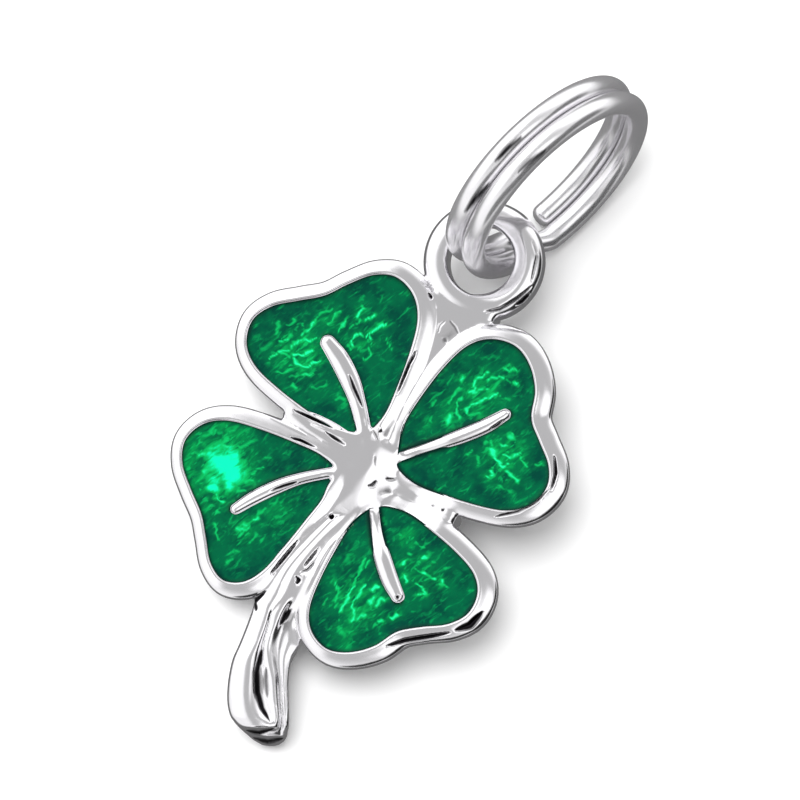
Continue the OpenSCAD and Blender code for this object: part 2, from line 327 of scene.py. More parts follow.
class Leaf:
    """One leaf's outline, rim and vein, worked out from its form."""

    def __init__(self, place: LeafPlace) -> None:
        """Keeps the leaf's place and form."""
        self.place = place
        self.form = FORMS[place]

    def outline(self, steps: int) -> list[Row]:
        """The inner edge of the rim, in the leaf's own frame."""
        f = self.form
        right = [(h[1] * f.width_r * (1 - f.flank_r * (1 - h[0])),
                  f.tip_r + (f.top_r - f.tip_r) * h[0]) for h in HALF_LEAF]
        left = [(-h[1] * f.width_l * (1 - f.flank_l * (1 - h[0])),
                 f.tip_l + (f.top_l - f.tip_l) * h[0]) for h in reversed(HALF_LEAF)]
        rows = [(0.0, (f.tip_l + f.tip_r) / 2), *right, (0.0, f.notch), *left]
        reach = SIZES.leaf_reach
        return [(x * reach, y * reach) for x, y in closed_spline(rows, steps)]

    def lean(self) -> tuple[float, float]:
        """The rims' lean, in the leaf's own frame."""
        c, s = cos_sin(self.form.direction)
        x, y = SIZES.rim_lean
        return x * c - y * s, x * s + y * c

    def rim_ring(self, outline: Sequence[Row], out: float, height: float) -> list[Vector]:
        """A ring of points round the leaf, in the flat frame.

        Args:
            outline: the rim's inner edge.
            out: share of rim_width outside that edge.
            height: height above the back, in millimetres.

        Returns:
            The ring's points.
        """
        ring = moved_out(outline, out * SIZES.rim_width, height, self.lean())
        return [self.form.to_flat(point) for point in ring]

    def vein_rows(self, steps: int = 6) -> list[Row]:
        """The vein's line in the leaf's own frame: across, along and width."""
        f, s = self.form, SIZES
        rows = [((w[1] * f.vein_bend + w[2] * f.vein_tip) * s.leaf_reach,
                 w[0] * f.vein_end * s.leaf_reach, w[3] * f.vein_size * s.vein_width)
                for w in VEIN]
        return open_spline(rows, steps)


class Bench:
    """The modelling bench: the edit-mode steps that the pieces are shaped with."""

    ORDER = "order"
    # Vertices nearer than this many millimetres become one
    WELD = 1e-5

    @staticmethod
    def clear() -> None:
        """Leaves edit mode and deselects everything."""
        if bpy.context.object and bpy.context.object.mode != "OBJECT":
            bpy.ops.object.mode_set(mode="OBJECT")
        bpy.ops.object.select_all(action="DESELECT")

    @classmethod
    def pick(cls, piece: bpy.types.Object) -> None:
        """Selects one object alone and makes it the active one."""
        cls.clear()
        piece.select_set(True)
        bpy.context.view_layer.objects.active = piece

    @classmethod
    def start_ring(cls, points: Sequence[Vector]) -> None:
        """Adds a circle, opens it in edit mode and brings its vertices to the points."""
        cls.clear()
        bpy.ops.mesh.primitive_circle_add(vertices=len(points), radius=1.0)
        bpy.ops.object.mode_set(mode="EDIT")
        bpy.ops.mesh.select_mode(type="VERT")
        bpy.ops.mesh.select_all(action="SELECT")
        data = bpy.context.object.data
        mesh = bmesh.from_edit_mesh(data)
        order = mesh.verts.layers.int.new(cls.ORDER)
        mesh.verts.ensure_lookup_table()
        for number, vertex in enumerate(mesh.verts):
            vertex[order] = number
            vertex.co = points[number]
        bmesh.update_edit_mesh(data)

    @classmethod
    def extrude_to(cls, points: Sequence[Vector]) -> None:
        """Extrudes the selected ring and brings the new one to the points."""
        bpy.ops.mesh.extrude_region_move()
        data = bpy.context.object.data
        mesh = bmesh.from_edit_mesh(data)
        order = mesh.verts.layers.int[cls.ORDER]
        for vertex in mesh.verts:
            if vertex.select:
                vertex.co = points[vertex[order]]
        bmesh.update_edit_mesh(data)

    @classmethod
    def close(cls, name: str) -> bpy.types.Object:
        """Fills the open ends, turns the faces outwards and leaves edit mode."""
        bpy.ops.mesh.select_all(action="SELECT")
        bpy.ops.mesh.remove_doubles(threshold=cls.WELD)
        bpy.ops.mesh.fill_holes(sides=0)
        bpy.ops.mesh.select_all(action="SELECT")
        bpy.ops.mesh.normals_make_consistent(inside=False)
        bpy.ops.object.mode_set(mode="OBJECT")
        piece = bpy.context.object
        piece.name = piece.data.name = name
        return piece

    @classmethod
    def lofted(cls, name: str, rings: Sequence[Sequence[Vector]]) -> bpy.types.Object:
        """A closed body extruded from ring to ring."""
        cls.start_ring(rings[0])
        for ring in rings[1:]:
            cls.extrude_to(ring)
        return cls.close(name)

    @classmethod
    def joined(cls, name: str, parts: Sequence[bpy.types.Object]) -> bpy.types.Object:
        """Joins several bodies into one object."""
        cls.pick(parts[0])
        for part in parts:
            part.select_set(True)
        bpy.ops.object.join()
        parts[0].name = parts[0].data.name = name
        return parts[0]

    @classmethod
    def modifier(cls, piece: bpy.types.Object, kind: str, **settings: object) -> None:
        """Adds a modifier with these settings and applies it."""
        cls.pick(piece)
        made = piece.modifiers.new(kind.title(), kind)
        for key, value in settings.items():
            setattr(made, key, value)
        bpy.ops.object.modifier_apply(modifier=made.name)

    @classmethod
    def smooth(cls, piece: bpy.types.Object, angle: float | None = None) -> None:
        """Shades a piece smooth, keeping edges sharper than the angle in degrees."""
        cls.pick(piece)
        if angle is None:
            bpy.ops.object.shade_smooth()
        else:
            bpy.ops.object.shade_smooth_by_angle(angle=math.radians(angle))


@dataclass(frozen=True)
class RidgeForm:
    """A round-topped ridge along a line, blunt at its start and rounded at its end.

    Its shoulder is the share of its height at which the rounding starts. It is flatter on
    its crest the further below 1 that number is, and falls by the slant on the side that
    is away from the camera. The rounded end is so many times longer than half its width,
    is made in so many rings that sweep a little past a quarter turn, and its crest drops.
    """

    foot: float
    shoulder: float = 0.8
    flatness: float = 0.7
    slant: float = 0.3
    skirt: float = 2.5
    sides: int = 20
    end_taper: float = 0.9
    end_rings: int = 6
    end_sweep: float = 1.1
    end_drop: float = 0.16

    def ring(self, middle: Sequence[float], along: Vector, width: float,
             top: float) -> list[Vector]:
        """One ring across the line at a point."""
        view_c, view_s = cos_sin(VIEW.side)
        away = Vector((-view_c, view_s))
        side = Vector((along.y, -along.x))
        shoulder = self.foot + (top - self.foot) * self.shoulder
        points = []
        for k in range(self.sides):
            angle = 2 * math.pi * k / self.sides
            c, s = math.cos(angle), math.sin(angle)
            across = width / 2 * c
            if s >= 0:
                height = (shoulder + (top - shoulder) * s ** self.flatness
                          - self.slant * max(0.0, (side * across) @ away))
            else:
                height = shoulder - (shoulder - self.foot) * min(1, self.skirt * -s)
            points.append(Vector((middle[0] + side.x * across, middle[1] + side.y * across,
                                  height)))
        return points

    def rings(self, rows: Sequence[Row]) -> list[list[Vector]]:
        """The ridge's rings.

        Args:
            rows: across, along, width and crest height of each station.

        Returns:
            The rings, from the first end to the last.
        """
        rings = [self.ring(row, heading_at(rows, i), row[2], row[3])
                 for i, row in enumerate(rows)]
        x, y, width, top = rows[-1]
        out = heading(rows[-2], rows[-1])
        for k in range(1, self.end_rings):
            angle = k / self.end_rings * math.pi / 2 * self.end_sweep
            reach = width / 2 * self.end_taper * math.sin(angle)
            size = math.cos(angle)
            crest = self.foot + (top - self.foot) * (1 - self.end_drop + self.end_drop * size)
            rings.append(self.ring((x + out.x * reach, y + out.y * reach), out, width * size,
                                   crest))
        return rings


@dataclass(frozen=True)
class Mark:
    """A slit, pit or knot in the silver, or a streak of painted dark reflection, at its place in
    the picture.

    Its line is in pixels, and so is half its width. Its depth is in millimetres, less than
    nothing for a knot and nothing for a streak, and how dark it is painted goes from 0 to 1.
    """

    line: tuple[Pixel, ...]
    half: float
    depth: float
    stain: float

    @classmethod
    def table(cls, rows: Sequence[Row]) -> list["Mark"]:
        """Marks from rows of half the width, the depth, how dark each is painted and then the
        line.
        """
        return [cls(tuple(zip(row[3::2], row[4::2])), *row[:3]) for row in rows]

    def width_at(self, share: np.ndarray) -> np.ndarray:
        """Half its width along its line, which narrows towards both ends."""
        return self.half * np.clip(4 * share * (1 - share), 0.05, 1) ** 0.7


class Clay:
    """Vertex moves on a mesh, as with sculpting tools, at places given in the picture."""

    # Above this height in mm a surface starts to count as the upper side, and after so much more
    # it does in full. How steep it may be is set by the next two, for moves and for painted shade
    UPPER_START, UPPER_RISE = 0.35, 0.2
    MOVE_GAIN, STAIN_GAIN = 2, 9
    # How far the painted shade spreads, in widths of its mark, and how much stronger it gets than
    # given
    STAIN_SPREAD, STAIN_FORCE = 1.2, 1.6

    def __init__(self, piece: bpy.types.Object) -> None:
        """Reads the mesh's points and which of them face up."""
        self.mesh = piece.data
        self.points = read_vectors(self.mesh, "co")
        upward = read_vectors(self.mesh, "normal")[:, 2]
        high = np.clip((self.points[:, 2] - self.UPPER_START) / self.UPPER_RISE, 0, 1)
        self.top = np.clip(upward * self.MOVE_GAIN, 0, 1) * high
        self.open = np.clip(upward * self.STAIN_GAIN, 0, 1) * high
        self.seen = VIEW.pixels(self.points)

    def finish(self) -> None:
        """Writes the moved points back to the mesh."""
        self.mesh.vertices.foreach_set("co", self.points.ravel())
        self.mesh.update()

    def away(self, line: Sequence[Pixel]) -> tuple[np.ndarray, np.ndarray]:
        """How far each point is from a line in the picture, in pixels.

        Args:
            line: the line's points.

        Returns:
            The distances, and for each the share of the line's length at its nearest point.
        """
        ends = np.array(line, dtype=float)
        lengths = np.hypot(*(ends[1:] - ends[:-1]).T)
        before = np.concatenate(([0.0], np.cumsum(lengths)))
        best = np.full(len(self.seen), 1e9)
        share = np.zeros(len(self.seen))
        for start, stop, length, done in zip(ends, ends[1:], lengths, before):
            way = (stop - start) / length
            along = np.clip((self.seen - start) @ way, 0, length)
            gap = np.hypot(*(self.seen - start - along[:, None] * way).T)
            near = gap < best
            best[near] = gap[near]
            share[near] = (done + along[near]) / before[-1]
        return best, share

    def dent(self, mark: Mark) -> None:
        """Presses a mark into the upper side, or raises it if its depth is negative."""
        gap, share = self.away(mark.line)
        fall = np.clip(1 - (gap / mark.width_at(share)) ** 2, 0, 1) ** 1.5
        self.points[:, 2] -= mark.depth * fall * self.top

    def stain(self, marks: Sequence[Mark]) -> None:
        """Stores on the mesh the painted shade in its slits and pits and the painted dark
        reflections along its streaks.
        """
        dark = np.zeros(len(self.points))
        for mark in marks:
            gap, share = self.away(mark.line)
            near = np.clip(self.STAIN_SPREAD - gap / mark.width_at(share), 0, 1)
            dark = np.maximum(dark, mark.stain * near * self.open)
        store(self.mesh, "stain", np.clip(dark * self.STAIN_FORCE, 0, 1))

    def tilt(self, start: Pixel, way: Pixel, slope: float, run: float, middle: Pixel,
             reach: float) -> None:
        """Lowers what lies beyond a line, more the further away, round a middle point.

        Args:
            start: a point of the line in the picture.
            way: the direction in which the surface falls, in the picture.
            slope: the fall in mm for each mm.
            run: how far the surface falls, in pixels.
            middle: the middle of the area.
            reach: the area's radius in pixels.
        """
        way_vector = np.array(way) / math.hypot(*way)
        beyond = np.clip((self.seen - np.array(start)) @ way_vector, 0, run) / VIEW.per_mm
        gap = np.hypot(*(self.seen - np.array(middle)).T) / reach
        fade = np.clip(2 * (1 - gap), 0, 1)
        self.points[:, 2] -= slope * beyond * (fade * fade * (3 - 2 * fade)) * self.top


@dataclass
class StemForm:
    """The stem: rows across it, from the clover's middle to its foot.

    Each row is a height in the picture, then ten points from left to right: the pixel in
    the row and the height in millimetres. They are the left side's foot and shoulder, the
    broad ridge's two edges, the groove, the groove's far slope, the thin ridge, the
    second groove, the flange and the right side's foot.
    """

    rows: list[Row] = field(default_factory=lambda: [
        (515, 322, 0.9, 326, 1.22, 331, 1.24, 337, 1.275, 344, 1.24, 348, 1.24, 352, 1.25,
         356, 1.25, 361, 1.25, 365, 0.9),
        (545, 283, 0.9, 288, 1.235, 301, 1.235, 308, 1.275, 315, 1.235, 318, 1.235, 322, 1.24,
         327, 1.245, 333, 1.25, 337, 0.9),
        (570, 265, 0.7, 268, 1.2, 279, 1.22, 287, 1.275, 295, 1.225, 300, 1.225, 305, 1.23,
         311, 1.24, 319, 1.25, 323, 0.9),
        (595, 257, 0.6, 257, 1.08, 267, 1.19, 275, 1.26, 282, 1.21, 287, 1.2, 291, 1.2,
         298, 1.2, 308, 1.22, 315, 0.8),
        (610, 254, 0.7, 252.5, 1.06, 261, 1.19, 269, 1.23, 272, 1.16, 276, 1.2, 283, 1.19,
         288, 1.05, 296, 1.13, 305, 0.95),
        (625, 249, 0.7, 247, 1.05, 256, 1.2, 265, 1.23, 268, 1.14, 271, 1.18,
         276, 1.19, 283, 1.05, 293, 1.04, 303, 0.9),
        (645, 241, 0.7, 239, 1.05, 249, 1.21, 258, 1.24, 262, 1.12, 265, 1.15,
         269, 1.18, 279, 1.05, 288, 1.09, 299, 1.0),
        (660, 234.5, 0.7, 232.5, 1.05, 243, 1.22, 253, 1.235, 260.5, 1.09, 264, 1.13,
         270, 1.175, 278.5, 1.04, 283.5, 1.09, 291.5, 1.02),
        (680, 230.5, 0.7, 228.5, 1.05, 240, 1.22, 251, 1.235, 261, 1.07, 267, 1.12,
         274, 1.175, 280, 1.035, 283.3, 1.085, 288.8, 1.03),
        (700, 229.5, 0.7, 227.5, 1.05, 240, 1.22, 251, 1.23, 262.5, 1.07, 268, 1.12,
         276, 1.165, 281, 1.025, 284, 1.08, 289, 1.03),
        (714, 232, 0.7, 230, 1.05, 243, 1.21, 256, 1.215, 267.5, 1.07, 272, 1.11,
         277.5, 1.15, 281.8, 1.01, 284.6, 1.07, 289.2, 1.02),
        (721, 236, 0.65, 234, 1.02, 248, 1.19, 262, 1.19, 270, 1.13, 274, 1.13,
         277.5, 1.14, 281.8, 0.97, 284.8, 1.04, 289.4, 0.98),
        (727, 241, 0.55, 239, 0.95, 251, 1.14, 263, 1.15, 270, 1.13, 274, 1.1,
         277.5, 1.06, 281.5, 0.93, 284.8, 1.0, 289, 0.93),
        (731, 245, 0.5, 243, 0.8, 253, 0.92, 264, 0.94, 270, 0.95, 274, 0.96,
         277, 0.96, 281, 0.9, 284.6, 0.95, 288, 0.7),
        (736, 250, 0.45, 248.5, 0.66, 257, 0.76, 265, 0.84, 270, 0.85, 274, 0.85,
         277, 0.84, 280.5, 0.82, 283.6, 0.82, 287.3, 0.4),
        (741, 255.5, 0.35, 254.5, 0.5, 261, 0.56, 266, 0.62, 270, 0.63, 273, 0.63,
         276, 0.62, 279, 0.6, 281.6, 0.56, 284.5, 0.35),
        (745.5, 262, 0.3, 263, 0.38, 266, 0.42, 268, 0.43, 270, 0.43, 271, 0.43,
         273, 0.42, 275, 0.41, 277, 0.38, 279, 0.3)])

    # Height of the underside in mm, and how many pixels it is narrower on each side
    under_height: float = 0.02
    under_inset: float = 6.0

    def build(self) -> bpy.types.Object:
        """Lofts the stem from row to row."""
        rings = []
        for row in open_spline(self.rows, 6):
            pairs = list(zip(row[1::2], row[2::2]))
            ring = [VIEW.at(x, row[0], height) for x, height in open_spline(pairs, 4)]
            for (x, height), inset in ((pairs[-1], -self.under_inset),
                                       (pairs[0], self.under_inset)):
                corner = VIEW.at(x + inset, row[0], height)
                ring.append(Vector((corner.x, corner.y, self.under_height)))
            rings.append(ring)
        return Bench.lofted("stem", rings)


@dataclass
class CastFrame:
    """The cast silver: leaves' rims and veins, hub, webs, stem and bail loop."""

    stem: StemForm = field(default_factory=StemForm)
    voxel: float = 0.027
    smoothing: int = 6
    face_limit: int = 192000
    # Passes of smoothing where parts flow into each other, and after the marks are carved
    melting: int = 90
    last_smoothing: int = 2
    melt_levels: int = 10
    # Where parts flow into each other: a point of the picture and an inner and outer radius
    melts: list[Spot] = field(default_factory=lambda: [
        (370.0, 468.0, 30.0, 50.0), (448.0, 515.0, 6.0, 20.0), (290.0, 420.0, 5.0, 18.0),
        (486.0, 314.0, 5.0, 16.0), (434.0, 297.0, 3.0, 12.0), (268.0, 600.0, 4.0, 14.0)])
    # The third number of each row is how dark the mark is painted: painted shade in slits and
    # pits, painted dark reflections along streaks
    marks: list[Mark] = field(default_factory=lambda: Mark.table([
        (1.8, 0.13, 1.0, 294, 410, 312, 418, 333, 428),
        (1.5, 0.1, 0.9, 326, 432, 336, 439, 345, 445),
        (1.6, 0.11, 1.0, 289, 437.5, 300, 440, 315, 447),
        (1.7, 0.11, 1.0, 298, 541, 285, 557, 271, 574),
        (1.3, 0.1, 0.9, 319, 548, 311, 558, 303, 568),
        (1.6, 0.06, 0.4, 315, 562, 308, 570, 300, 573),
        (1.7, 0.12, 1.0, 417, 350, 409, 364, 397, 394),
        (1.8, 0.11, 0.9, 554.5, 455, 555.5, 473, 551, 490), (3.0, 0.12, 1.0, 331, 514, 332, 519),
        (2.0, 0.06, 0.4, 368, 486, 373, 486, 377, 481),
        (1.4, 0.035, 0.3, 385, 479, 391, 480, 396, 479),
        (1.5, 0.05, 0.5, 373, 430, 376, 435, 378, 440),
        (1.0, 0.012, 0.5, 375, 455, 374.5, 461, 375.5, 467),
        (2.6, 0.03, 0.7, 442, 509, 444, 511), (1.8, 0.04, 0.4, 432, 505, 434, 507),
        (2.0, 0.1, 1.0, 296, 576, 299, 580, 296, 584), (8.0, 0.0, 0.22, 448, 328, 449, 337),
        (3.5, 0.012, 0.4, 443, 338, 447, 342), (1.8, 0.02, 0.4, 449, 320, 455, 327, 459, 335),
        (1.6, 0.015, 0.2, 446, 320, 440, 325, 438, 332), (3.0, -0.05, 0.0, 377, 428, 381, 431),
        (2.6, -0.025, 0.0, 262, 413.5, 285, 424, 306, 435),
        (2.0, -0.025, 0.0, 309, 423.5, 326, 431, 345, 439),
        (2.2, 0.06, 1.0, 349, 374, 354, 388, 363, 408),
        (1.6, 0.05, 1.0, 298, 482, 284, 486, 270, 491),
        (1.6, 0.05, 0.9, 490, 429, 497, 425, 503, 420), (2.4, 0.06, 0.9, 396, 597, 399.5, 597.5),
        (4.0, 0.05, 1.0, 262, 648, 256.5, 672, 257.5, 692, 262, 708, 270, 721),
        (3.0, 0.015, 0.5, 266, 667, 265.5, 680, 267.5, 698),
        (3.2, 0.03, 1.0, 291, 609, 286, 616, 280, 625),
        (6.0, 0.0, 0.3, 293, 613, 288, 620, 283, 630),
        (3.0, 0.0, 0.2, 291, 622, 285, 634, 279, 650),
        (2.3, 0.07, 1.0, 240, 601, 254, 602, 267, 590), (2.2, 0.05, 0.8, 255, 603, 256, 611),
        (2.6, 0.02, 1.0, 246, 730, 259, 733, 274, 728),
        (2.8, 0.0, 1.0, 254, 738, 268, 742, 284, 738),
        (2.8, 0.05, 0.6, 549, 489, 535, 502, 518, 511, 495, 517),
        (3.2, 0.06, 1.0, 386, 646, 405, 640, 430, 636, 451, 632),
        (4.6, 0.05, 1.0, 455, 630, 470, 625, 483, 611),
        (2.0, 0.06, 0.6, 531, 287, 518, 298, 500, 309, 484, 312),
        (3.0, 0.07, 0.9, 530, 293, 522, 301, 515, 305),
        (1.4, 0.03, 0.25, 532, 240, 537, 256, 531, 283), (1.8, 0.08, 0.8, 429, 293, 432, 299)]))
    # Share of rim_width outside the enamel's edge, share of plate_height
    rim_section: list[Row] = field(default_factory=lambda: [
        (0.46, 0.0), (0.55, 0.05), (0.68, 0.16), (0.82, 0.34), (0.93, 0.54), (0.99, 0.7),
        (1.0, 0.79), (0.99, 0.845), (0.955, 0.877), (0.88, 0.902), (0.76, 0.924),
        (0.62, 0.943), (0.48, 0.958), (0.36, 0.967), (0.26, 0.971), (0.19, 0.977),
        (0.12, 0.988), (0.065, 0.985), (0.025, 0.968), (0.0, 0.92)])
    hub_profile: list[Row] = field(default_factory=lambda: [
        (1.2, 0.015), (1.2, 0.86), (1.15, 0.92), (1.02, 0.948), (0.85, 0.952),
        (0.6, 0.954), (0.3, 0.955), (0.06, 0.955)])
    # Corners in the picture, then the height in mm
    web_outlines: list[tuple[float, list[Pixel]]] = field(
        default_factory=lambda: [
            (1.235, [(282, 415.5), (300, 430), (330, 450), (352, 470), (368, 450), (345, 428),
                     (312, 411), (291, 409)]),
            (1.225, [(456, 514), (450, 523), (428, 512), (402, 500), (380, 482), (396, 474),
                     (418, 487), (440, 500)]),
            (1.15, [(436, 288), (426, 310), (424, 335), (408, 370), (396, 405), (380, 440),
                     (390, 446), (398, 422), (414, 390), (434, 362), (458, 340), (491, 323),
                     (494, 312), (470, 306), (450, 298)]),
            (1.14, [(352, 480), (330, 500), (300, 530), (278, 560), (262, 590), (262, 606),
                        (280, 606), (305, 600), (322, 565), (345, 525), (366, 498)]),
            (1.235, [(354, 476), (340, 490), (324, 512), (326, 530), (346, 528), (366, 506),
                     (372, 488)])])
    loop_rows: list[Row] = field(default_factory=lambda: [
        (0.24, 0.02), (0.12, 0.1), (0.03, 0.24), (0.0, 0.45), (0.0, 0.75), (0.015, 0.9),
        (0.06, 0.965), (0.14, 0.985), (0.28, 0.99), (0.42, 0.987), (0.56, 0.972),
        (0.72, 0.943), (0.86, 0.895), (0.95, 0.82), (1.0, 0.68), (0.96, 0.46), (0.86, 0.26),
        (0.74, 0.1), (0.58, 0.02)])

    # How far out a web's section is in mm, how far below its top, or its height at the foot
    web_foot: tuple[Pixel, ...] = ((-0.06, 0.03), (0.0, 0.15))
    web_section: tuple[Pixel, ...] = ((0.02, 0.3), (0.0, 0.12), (-0.05, 0.03), (-0.12, 0.0))
    # The veins come out wider than the solids' and start sunk, in mm and share of length
    vein_growth: float = 1.16
    vein_sunk: float = 0.03
    vein_sunk_share: float = 0.35
    vein_below_rim: float = 0.005
    vein_root: float = 0.1
    hub_sides: int = 48
    loop_sides: int = 96
    # In mm: how far the loop goes into its bore, more on the right, and out past its wall
    loop_grow_in: float = 0.02
    loop_grow_right: float = 0.13
    loop_grow_out: float = 0.04
    # The fall of the loop's inner slope on the right, and the bearing of its widest point
    loop_fall: float = 0.09
    loop_fall_share: float = 0.5
    loop_bearing: float = -0.3

    def leaf_body(self, leaf: Leaf) -> bpy.types.Object:
        """A leaf's plate with its rim and its pocket."""
        outline = leaf.outline(8)
        height = SIZES.plate_height
        rings = [leaf.rim_ring(outline, out, share * height) for out, share in self.rim_section]
        rings.append(leaf.rim_ring(outline, 0.0, SIZES.pocket_floor))
        return Bench.lofted(f"plate_{leaf.place.value}", rings)

    def vein(self, leaf: Leaf) -> bpy.types.Object:
        """A leaf's raised vein."""
        s = SIZES
        rows = []
        line = leaf.vein_rows()
        for number, (x, y, width) in enumerate(line):
            point = leaf.form.to_flat((x, y))
            sunk = self.vein_sunk * (1 - smooth_step(number / len(line) / self.vein_sunk_share))
            rows.append((point.x, point.y, width * self.vein_growth,
                         s.plate_height - self.vein_below_rim - sunk))
        form = RidgeForm(s.pocket_floor - self.vein_root)
        return Bench.lofted(f"vein_{leaf.place.value}", form.rings(rows))

    def webs(self) -> list[bpy.types.Object]:
        """The flat webs between the leaves and the one that carries the loop."""
        made = []
        for number, (height, outline) in enumerate(self.web_outlines):
            points = [VIEW.at(x, y, height) for x, y in outline]
            area = sum(a.x * b.y - b.x * a.y for a, b in zip(points, [*points[1:], points[0]]))
            if area < 0:
                points.reverse()
            curve = closed_spline([(point.x, point.y) for point in points], 4)
            levels = [*self.web_foot, *((out, height - below) for out, below in self.web_section)]
            made.append(Bench.lofted(f"web_{number}", [moved_out(curve, out, level)
                                                       for out, level in levels]))
        return made

    def hub(self) -> bpy.types.Object:
        """The smooth middle that the veins and rims flow into."""
        s = SIZES
        angles = [2 * math.pi * k / self.hub_sides for k in range(self.hub_sides)]
        rings = [[Vector((share * s.hub_radius * math.cos(angle),
                          share * s.hub_radius * math.sin(angle),
                          height * s.plate_height)) for angle in angles]
                 for share, height in self.hub_profile]
        return Bench.lofted("hub", rings)

    def loop(self) -> bpy.types.Object:
        """The bail loop, a broad band whose inner slope is wider on the right."""
        s = SIZES
        centre = s.loop_centre
        right, _, _ = VIEW.axes()
        wide = math.atan2(right.y, right.x) + self.loop_bearing
        section = closed_spline(self.loop_rows, 2)
        rings = []
        for k in range(self.loop_sides):
            angle = 2 * math.pi * k / self.loop_sides
            rightness = max(0.0, math.cos(angle - wide)) ** 0.7
            inner = s.loop_bore / 2 - self.loop_grow_in - self.loop_grow_right * rightness
            outer = s.loop_bore / 2 + s.loop_wall + self.loop_grow_out
            ring = []
            for t, h in section:
                radius = inner + (outer - inner) * t
                fall = (self.loop_fall * rightness * max(0.0, 1 - t / self.loop_fall_share)
                        * smooth_step(h))
                ring.append(Vector((centre.x + radius * math.cos(angle),
                                    centre.y + radius * math.sin(angle),
                                    (h - fall) * s.loop_height)))
            rings.append(ring)
        return Bench.lofted("loop", [*rings, rings[0]])

    def melt_hub(self, casting: bpy.types.Object) -> None:
        """Slopes the hub's right side, and lets veins and rims flow into it."""
        clay = Clay(casting)
        clay.tilt(start=(376, 450), way=(1.0, 0.3), slope=0.24, run=25, middle=(375, 472),
                  reach=84)
        clay.tilt(start=(368, 470), way=(0.7, 1.0), slope=0.18, run=34, middle=(375, 472),
                  reach=90)
        clay.finish()
        weights = np.zeros(len(clay.seen))
        for x, y, inner, outer in self.melts:
            gap = np.hypot(*(clay.seen - np.array((x, y))).T)
            weights = np.maximum(weights, np.clip((outer - gap) / (outer - inner), 0, 1))
        weights *= clay.top
        group = casting.vertex_groups.new(name="melt")
        for level in range(1, self.melt_levels + 1):
            chosen = np.nonzero(np.round(weights * self.melt_levels) == level)[0]
            group.add(chosen.tolist(), level / self.melt_levels, "REPLACE")
        Bench.modifier(casting, "SMOOTH", factor=0.5, iterations=self.melting,
                       vertex_group="melt")
        casting.vertex_groups.clear()

    def carve(self, casting: bpy.types.Object) -> None:
        """Works the casting over by hand: its slits, pits and knots."""
        clay = Clay(casting)
        for mark in self.marks:
            clay.dent(mark)
        clay.finish()

    def build(self) -> bpy.types.Object:
        """Models all the parts, melts them into one casting and cleans it up."""
        parts = []
        for place in LeafPlace:
            leaf = Leaf(place)
            parts += [self.leaf_body(leaf), self.vein(leaf)]
        parts += [self.hub(), self.loop(), *self.webs(), self.stem.build()]
        casting = Bench.joined("cast_silver", parts)
        Bench.modifier(casting, "REMESH", mode="VOXEL", voxel_size=self.voxel)
        Bench.modifier(casting, "SMOOTH", factor=0.5, iterations=self.smoothing)
        self.melt_hub(casting)
        self.carve(casting)
        Bench.modifier(casting, "SMOOTH", factor=0.5, iterations=self.last_smoothing)
        triangles = sum(len(face.vertices) - 2 for face in casting.data.polygons)
        LOG.info("casting has %d triangles", triangles)
        if triangles > self.face_limit:
            Bench.modifier(casting, "DECIMATE", ratio=self.face_limit / triangles)
        # Paints shade into the slits and pits and dark reflections along the streaks
        Clay(casting).stain(self.marks)
        Bench.smooth(casting)
        return casting


@dataclass(frozen=True)
class Foil:
    """The crumpled foil under one leaf's enamel, as it is seen in the picture.

    Each fold starts with its strength and half its width in pixels, and then come the points of
    its line; its crest gets a painted highlight. The patches, where the foil shows through and is
    painted lighter as a reflection, and the painted highlights have a middle, a radius and a
    strength. The fine streaks rise to the right by so many degrees, and along them the grain is
    measured at the stretch's share of its length.
    """

    folds: tuple[Row, ...]
    patches: tuple[Spot, ...]
    gleams: tuple[Spot, ...] = ()
    streaks: float = 38.0
    stretch: float = 0.38

    @staticmethod
    def spots(spots: Sequence[Spot], seen: np.ndarray) -> np.ndarray:
        """The strongest of the spots at each point of the picture."""
        strongest = np.zeros(len(seen))
        for x, y, radius, strength in spots:
            gap = np.hypot(*(seen - np.array((x, y))).T) / radius
            strongest = np.maximum(strongest, strength * np.exp(-gap ** 2 * 1.2))
        return strongest

    def creases(self, seen: np.ndarray) -> tuple[np.ndarray, np.ndarray]:
        """How high the folds are at each point of the picture, and how much painted highlight
        lies round them.
        """
        highest, painted_highlight = np.zeros(len(seen)), np.zeros(len(seen))
        x, y = seen.T
        wavering = seen + np.stack((0.8 * np.sin(y / 1.9 + x / 5.3) + 0.5 * np.sin(y / 0.9),
                                    0.8 * np.sin(x / 2.1 - y / 6.1) + 0.5 * np.sin(x / 1.1)),
                                   axis=1)
        swell = 1.15 + 0.35 * np.sin(x / 2.7 + 1.3 * np.sin(y / 3.1))
        for strength, half, *rest in self.folds:
            corners = list(zip(rest[::2], rest[1::2]))
            line = np.array(open_spline(corners, 4))
            for start, stop in zip(line, line[1:]):
                way = stop - start
                along = np.clip((wavering - start) @ way / (way @ way), 0, 1)
                gap = np.hypot(*(wavering - start - along[:, None] * way).T)
                highest = np.maximum(highest, strength * np.exp(-(gap / half / swell) ** 2))
                painted_highlight = np.maximum(painted_highlight, 0.9 * strength * np.exp(-gap / half / 3.2))
        return highest, painted_highlight
